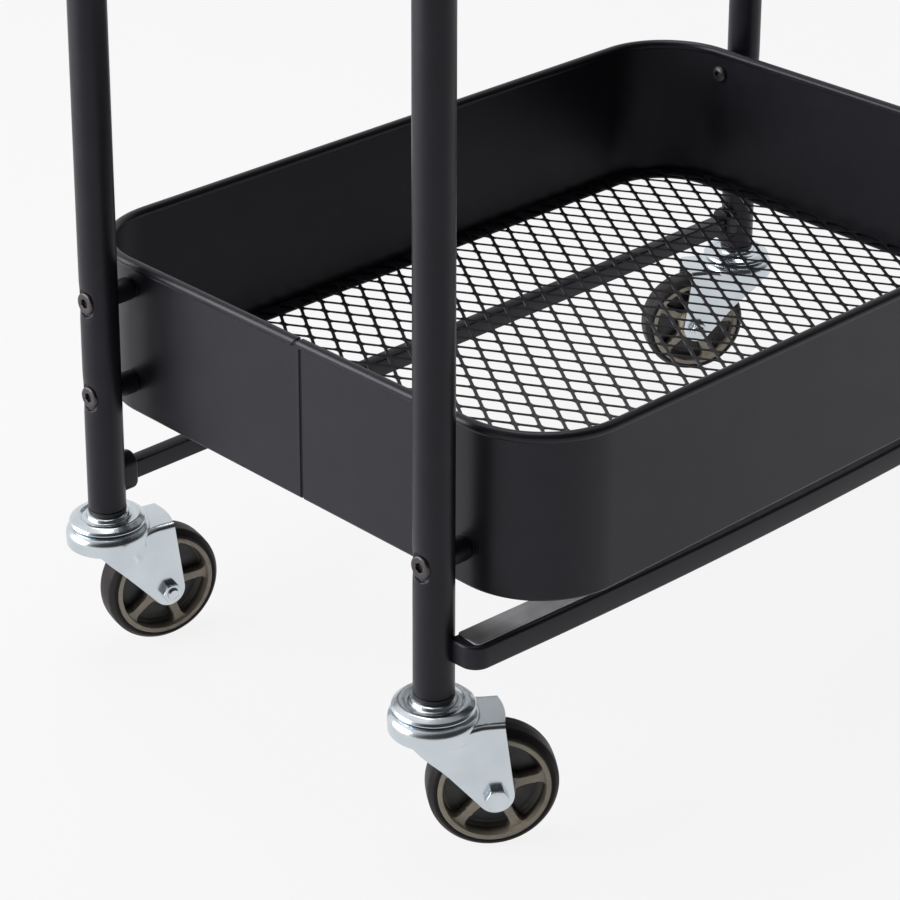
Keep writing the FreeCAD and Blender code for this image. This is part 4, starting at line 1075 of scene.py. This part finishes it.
class CART_OT_casters(bpy.types.Operator):
    """Makes the casters' yokes, axle bolts and wheels"""
    bl_idname = "cart.casters"
    bl_label = "Casters"

    def execute(self, context):
        axle = (TRAIL, 0, props("casters").wheel_radius)
        lying = ((1, 0, 0), (0, 0, 1), (0, -1, 0))
        for name in CASTERS:
            side = HEAD_SIDE[name]
            bolt = moved(bolt_part(), axle, (0, 0, 1), (side, 0, 0), (0, side, 0))
            core, recess = core_part(name)
            core, tread = (at_caster(moved(part, axle, *lying), name) for part in (core, tread_part()))
            make_piece(f"{name}_yoke", [at_caster(part, name) for part in yoke_parts()], f"{name}_caster",
                       "zinc_plated_steel", [f"{name}_caster_fork"], sharp=40, bevel=0.35 * MM)
            make_piece(f"{name}_hex_bolt", [at_caster(bolt, name)], f"{name}_caster", "zinc_plated_steel",
                       [f"{name}_axle_bolt"], bevel=0.15 * MM)
            make_piece(f"{name}_spoked_core", [core], f"{name}_wheel", "wheel_core_plastic",
                       [f"{name}_wheel_core"], sharp=60, recess=recess)
            make_piece(f"{name}_tread_ring", [tread], f"{name}_wheel", "wheel_tread_rubber",
                       [f"{name}_wheel_tread"], sharp=50)
        return {"FINISHED"}


class CART_OT_carried_nodes(bpy.types.Operator):
    """Gives the CAD nodes that stay, such as bushes and sleeves, their finishes"""
    bl_idname = "cart.carried_nodes"
    bl_label = "Carried-over pieces"

    def execute(self, context):
        slots = {row["node"]: row["material_slot"] for row in frame["record"]["subparts"]}
        for name, cad_node in frame["nodes"].items():
            cad_node.data.materials.clear()
            cad_node.data.materials.append(finish_of(slots[name]))
        return {"FINISHED"}


# Stage

# Camera fitted to the photograph: place in metres, angles in degrees, focal length and principal point in
# pixels of the photograph's frame, and its sensor's width in millimetres
PHOTO_SIDE = 900
PRINCIPAL_POINT = (450, 50)
CAMERA_PLACE = (-1.3737, -1.2666, 1.0609)
CAMERA_PITCH = 19.917
CAMERA_YAW = 43.963
CAMERA_ROLL = -0.146
CAMERA_FOCAL = 3012.0
SENSOR = 36.0


def add_camera():
    """A camera from pitch, yaw and roll; its shift puts the principal point where the photograph has it."""
    pitch, yaw, roll = (math.radians(a) for a in (CAMERA_PITCH, CAMERA_YAW, CAMERA_ROLL))
    ahead = Vector((math.sin(yaw) * math.cos(pitch), math.cos(yaw) * math.cos(pitch), -math.sin(pitch)))
    right = Vector((math.cos(yaw), -math.sin(yaw), 0))
    down = ahead.cross(right)
    turned_right = math.cos(roll) * right + math.sin(roll) * down
    turned_down = math.cos(roll) * down - math.sin(roll) * right
    data = bpy.data.cameras.new("photo_camera")
    data.sensor_width = SENSOR
    data.lens = CAMERA_FOCAL / PHOTO_SIDE * SENSOR
    data.shift_x = (PHOTO_SIDE / 2 - PRINCIPAL_POINT[0]) / PHOTO_SIDE
    data.shift_y = (PRINCIPAL_POINT[1] - PHOTO_SIDE / 2) / PHOTO_SIDE
    camera = bpy.data.objects.new("photo_camera", data)
    matrix = Matrix((turned_right, -turned_down, -ahead)).transposed().to_4x4()
    matrix.translation = Vector(CAMERA_PLACE)
    camera.matrix_world = matrix
    bpy.context.scene.collection.objects.link(camera)
    bpy.context.scene.camera = camera


# Soft lights: name, place, the point that it is turned to, width and height in metres, power in watts
SOFTBOXES = (
    ("key_softbox", (-2.2, 1.5, 0.9), (0, 0, 0.25), (2.0, 1.7), 80),
    ("top_softbox", (0.1, 0.5, 2.7), (0, 0, 0), (1.5, 1.5), 42),
)


def add_softbox(name, place, aim, size, power):
    """A rectangular soft light at a place, turned towards a point."""
    data = bpy.data.lights.new(name, "AREA")
    data.shape = "RECTANGLE"
    data.size, data.size_y = size
    data.energy = power
    light = bpy.data.objects.new(name, data)
    facing = (Vector(aim) - Vector(place)).to_track_quat("-Z", "Y")
    light.matrix_world = Matrix.Translation(place) @ facing.to_matrix().to_4x4()
    light.visible_camera = False
    bpy.context.scene.collection.objects.link(light)


def seen_rays(tree):
    """1 for camera, glossy and transmission rays, and 0 for the rest."""
    rays = tree.nodes.new("ShaderNodeLightPath").outputs
    seen = rays["Is Camera Ray"]
    for kind in ("Is Glossy Ray", "Is Transmission Ray"):
        seen = node(tree, "Math", "Value", {0: seen, 1: rays[kind]}, operation="MAXIMUM")
    return seen


# The pale side of the surroundings, where they go over from the dim side to it, the dim side's brightness,
# the strength of the surroundings for diffuse light, the floor's share of plain white and its reach in metres
PALE_SIDE = (0.2, 0.95, 0.22)
PALE_FROM, PALE_TO = -0.35, 0.3
DIM_SIDE = 0.05
AMBIENT = 0.3
FLOOR_GLOW = 0.93
FLOOR_REACH = 30.0


def add_surroundings(scene):
    """Pale surroundings that are dimmer on one side: the mix goes with the dot product of the direction
    and the pale side's."""
    world = scene.world or bpy.data.worlds.new("studio")
    scene.world = world
    world.use_nodes = True
    tree = world.node_tree
    background = tree.nodes["Background"].inputs
    around = node(tree, "TexCoord", "Generated", {})
    side = node(tree, "VectorMath", "Value", {0: around, 1: PALE_SIDE}, operation="DOT_PRODUCT")
    share = ranged(tree, side, 0, 1, PALE_FROM, PALE_TO)
    pale = props("colours").floor
    feed(tree, background["Color"], mixed(tree, share, shade(pale, DIM_SIDE), shade(pale, 1)))
    feed(tree, background["Strength"], ranged(tree, seen_rays(tree), AMBIENT, 1.0, 0, 1))


def add_floor(scene):
    """A wide matt floor that keeps the shadow, and that shows as nearly plain white."""
    mesh = bpy.data.meshes.new("studio_floor")
    corners = [(x * FLOOR_REACH, y * FLOOR_REACH, 0) for x, y in ((-1, -1), (1, -1), (1, 1), (-1, 1))]
    mesh.from_pydata(corners, [], [(0, 1, 2, 3)])
    floor = bpy.data.objects.new("studio_floor", mesh)
    scene.collection.objects.link(floor)
    paper = bpy.data.materials.new("studio_paper")
    paper.use_nodes = True
    tree = paper.node_tree
    pale = shade(props("colours").floor, 1)
    matt = tree.nodes["Principled BSDF"]
    for socket, value in (("Base Color", pale), ("Roughness", 1.0), ("Specular IOR Level", 0.0)):
        matt.inputs[socket].default_value = value
    glow = node(tree, "Emission", "Emission", {"Color": pale})
    share = ranged(tree, seen_rays(tree), 0.0, FLOOR_GLOW, 0, 1)
    paint = node(tree, "MixShader", "Shader", {"Fac": share, 1: matt.outputs["BSDF"], 2: glow})
    feed(tree, tree.nodes["Material Output"].inputs["Surface"], paint)
    mesh.materials.append(paper)


class CART_OT_stage(bpy.types.Operator):
    """Makes the pale floor and backdrop, the soft lights and the camera"""
    bl_idname = "cart.stage"
    bl_label = "Stage"

    def execute(self, context):
        context.scene.view_settings.view_transform = "Standard"
        add_surroundings(context.scene)
        add_floor(context.scene)
        for softbox in SOFTBOXES:
            add_softbox(*softbox)
        add_camera()
        return {"FINISHED"}


OPERATORS = (CART_OT_posts, CART_OT_post_ends, CART_OT_pivots, CART_OT_bars, CART_OT_trays,
             CART_OT_caster_stems, CART_OT_casters, CART_OT_carried_nodes, CART_OT_stage)
GROUPS = {"frame": CartFrameSizes, "tray": CartTraySizes, "screws": CartScrewSizes,
          "casters": CartCasterSizes, "colours": CartColours}


class CART_PT_sidebar(bpy.types.Panel):
    """Lists the cart's sizes and colours, and the operators that build it"""
    bl_label = "Folding cart"
    bl_idname = "CART_PT_sidebar"
    bl_space_type = "VIEW_3D"
    bl_region_type = "UI"
    bl_category = "Cart"

    def draw(self, context):
        for name, group in GROUPS.items():
            box = self.layout.box()
            box.label(text=name.capitalize())
            for key in group.__annotations__:
                box.prop(props(name), key)
        for operator in OPERATORS:
            self.layout.operator(operator.bl_idname)


def register():
    """Registers the classes and hangs the groups of sizes and colours on the scene."""
    for group in (*GROUPS.values(), *OPERATORS, CART_PT_sidebar):
        bpy.utils.register_class(group)
    for name, group in GROUPS.items():
        setattr(bpy.types.Scene, f"cart_{name}", PointerProperty(type=group))


def unregister():
    """Takes everything away again."""
    for name in GROUPS:
        delattr(bpy.types.Scene, f"cart_{name}")
    for group in (CART_PT_sidebar, *reversed(OPERATORS), *GROUPS.values()):
        bpy.utils.unregister_class(group)


def main():
    """Builds the cart."""
    register()
    for operator in OPERATORS:
        area, name = operator.bl_idname.split(".")
        getattr(getattr(bpy.ops, area), name)()


if __name__ == "__main__":
    main()
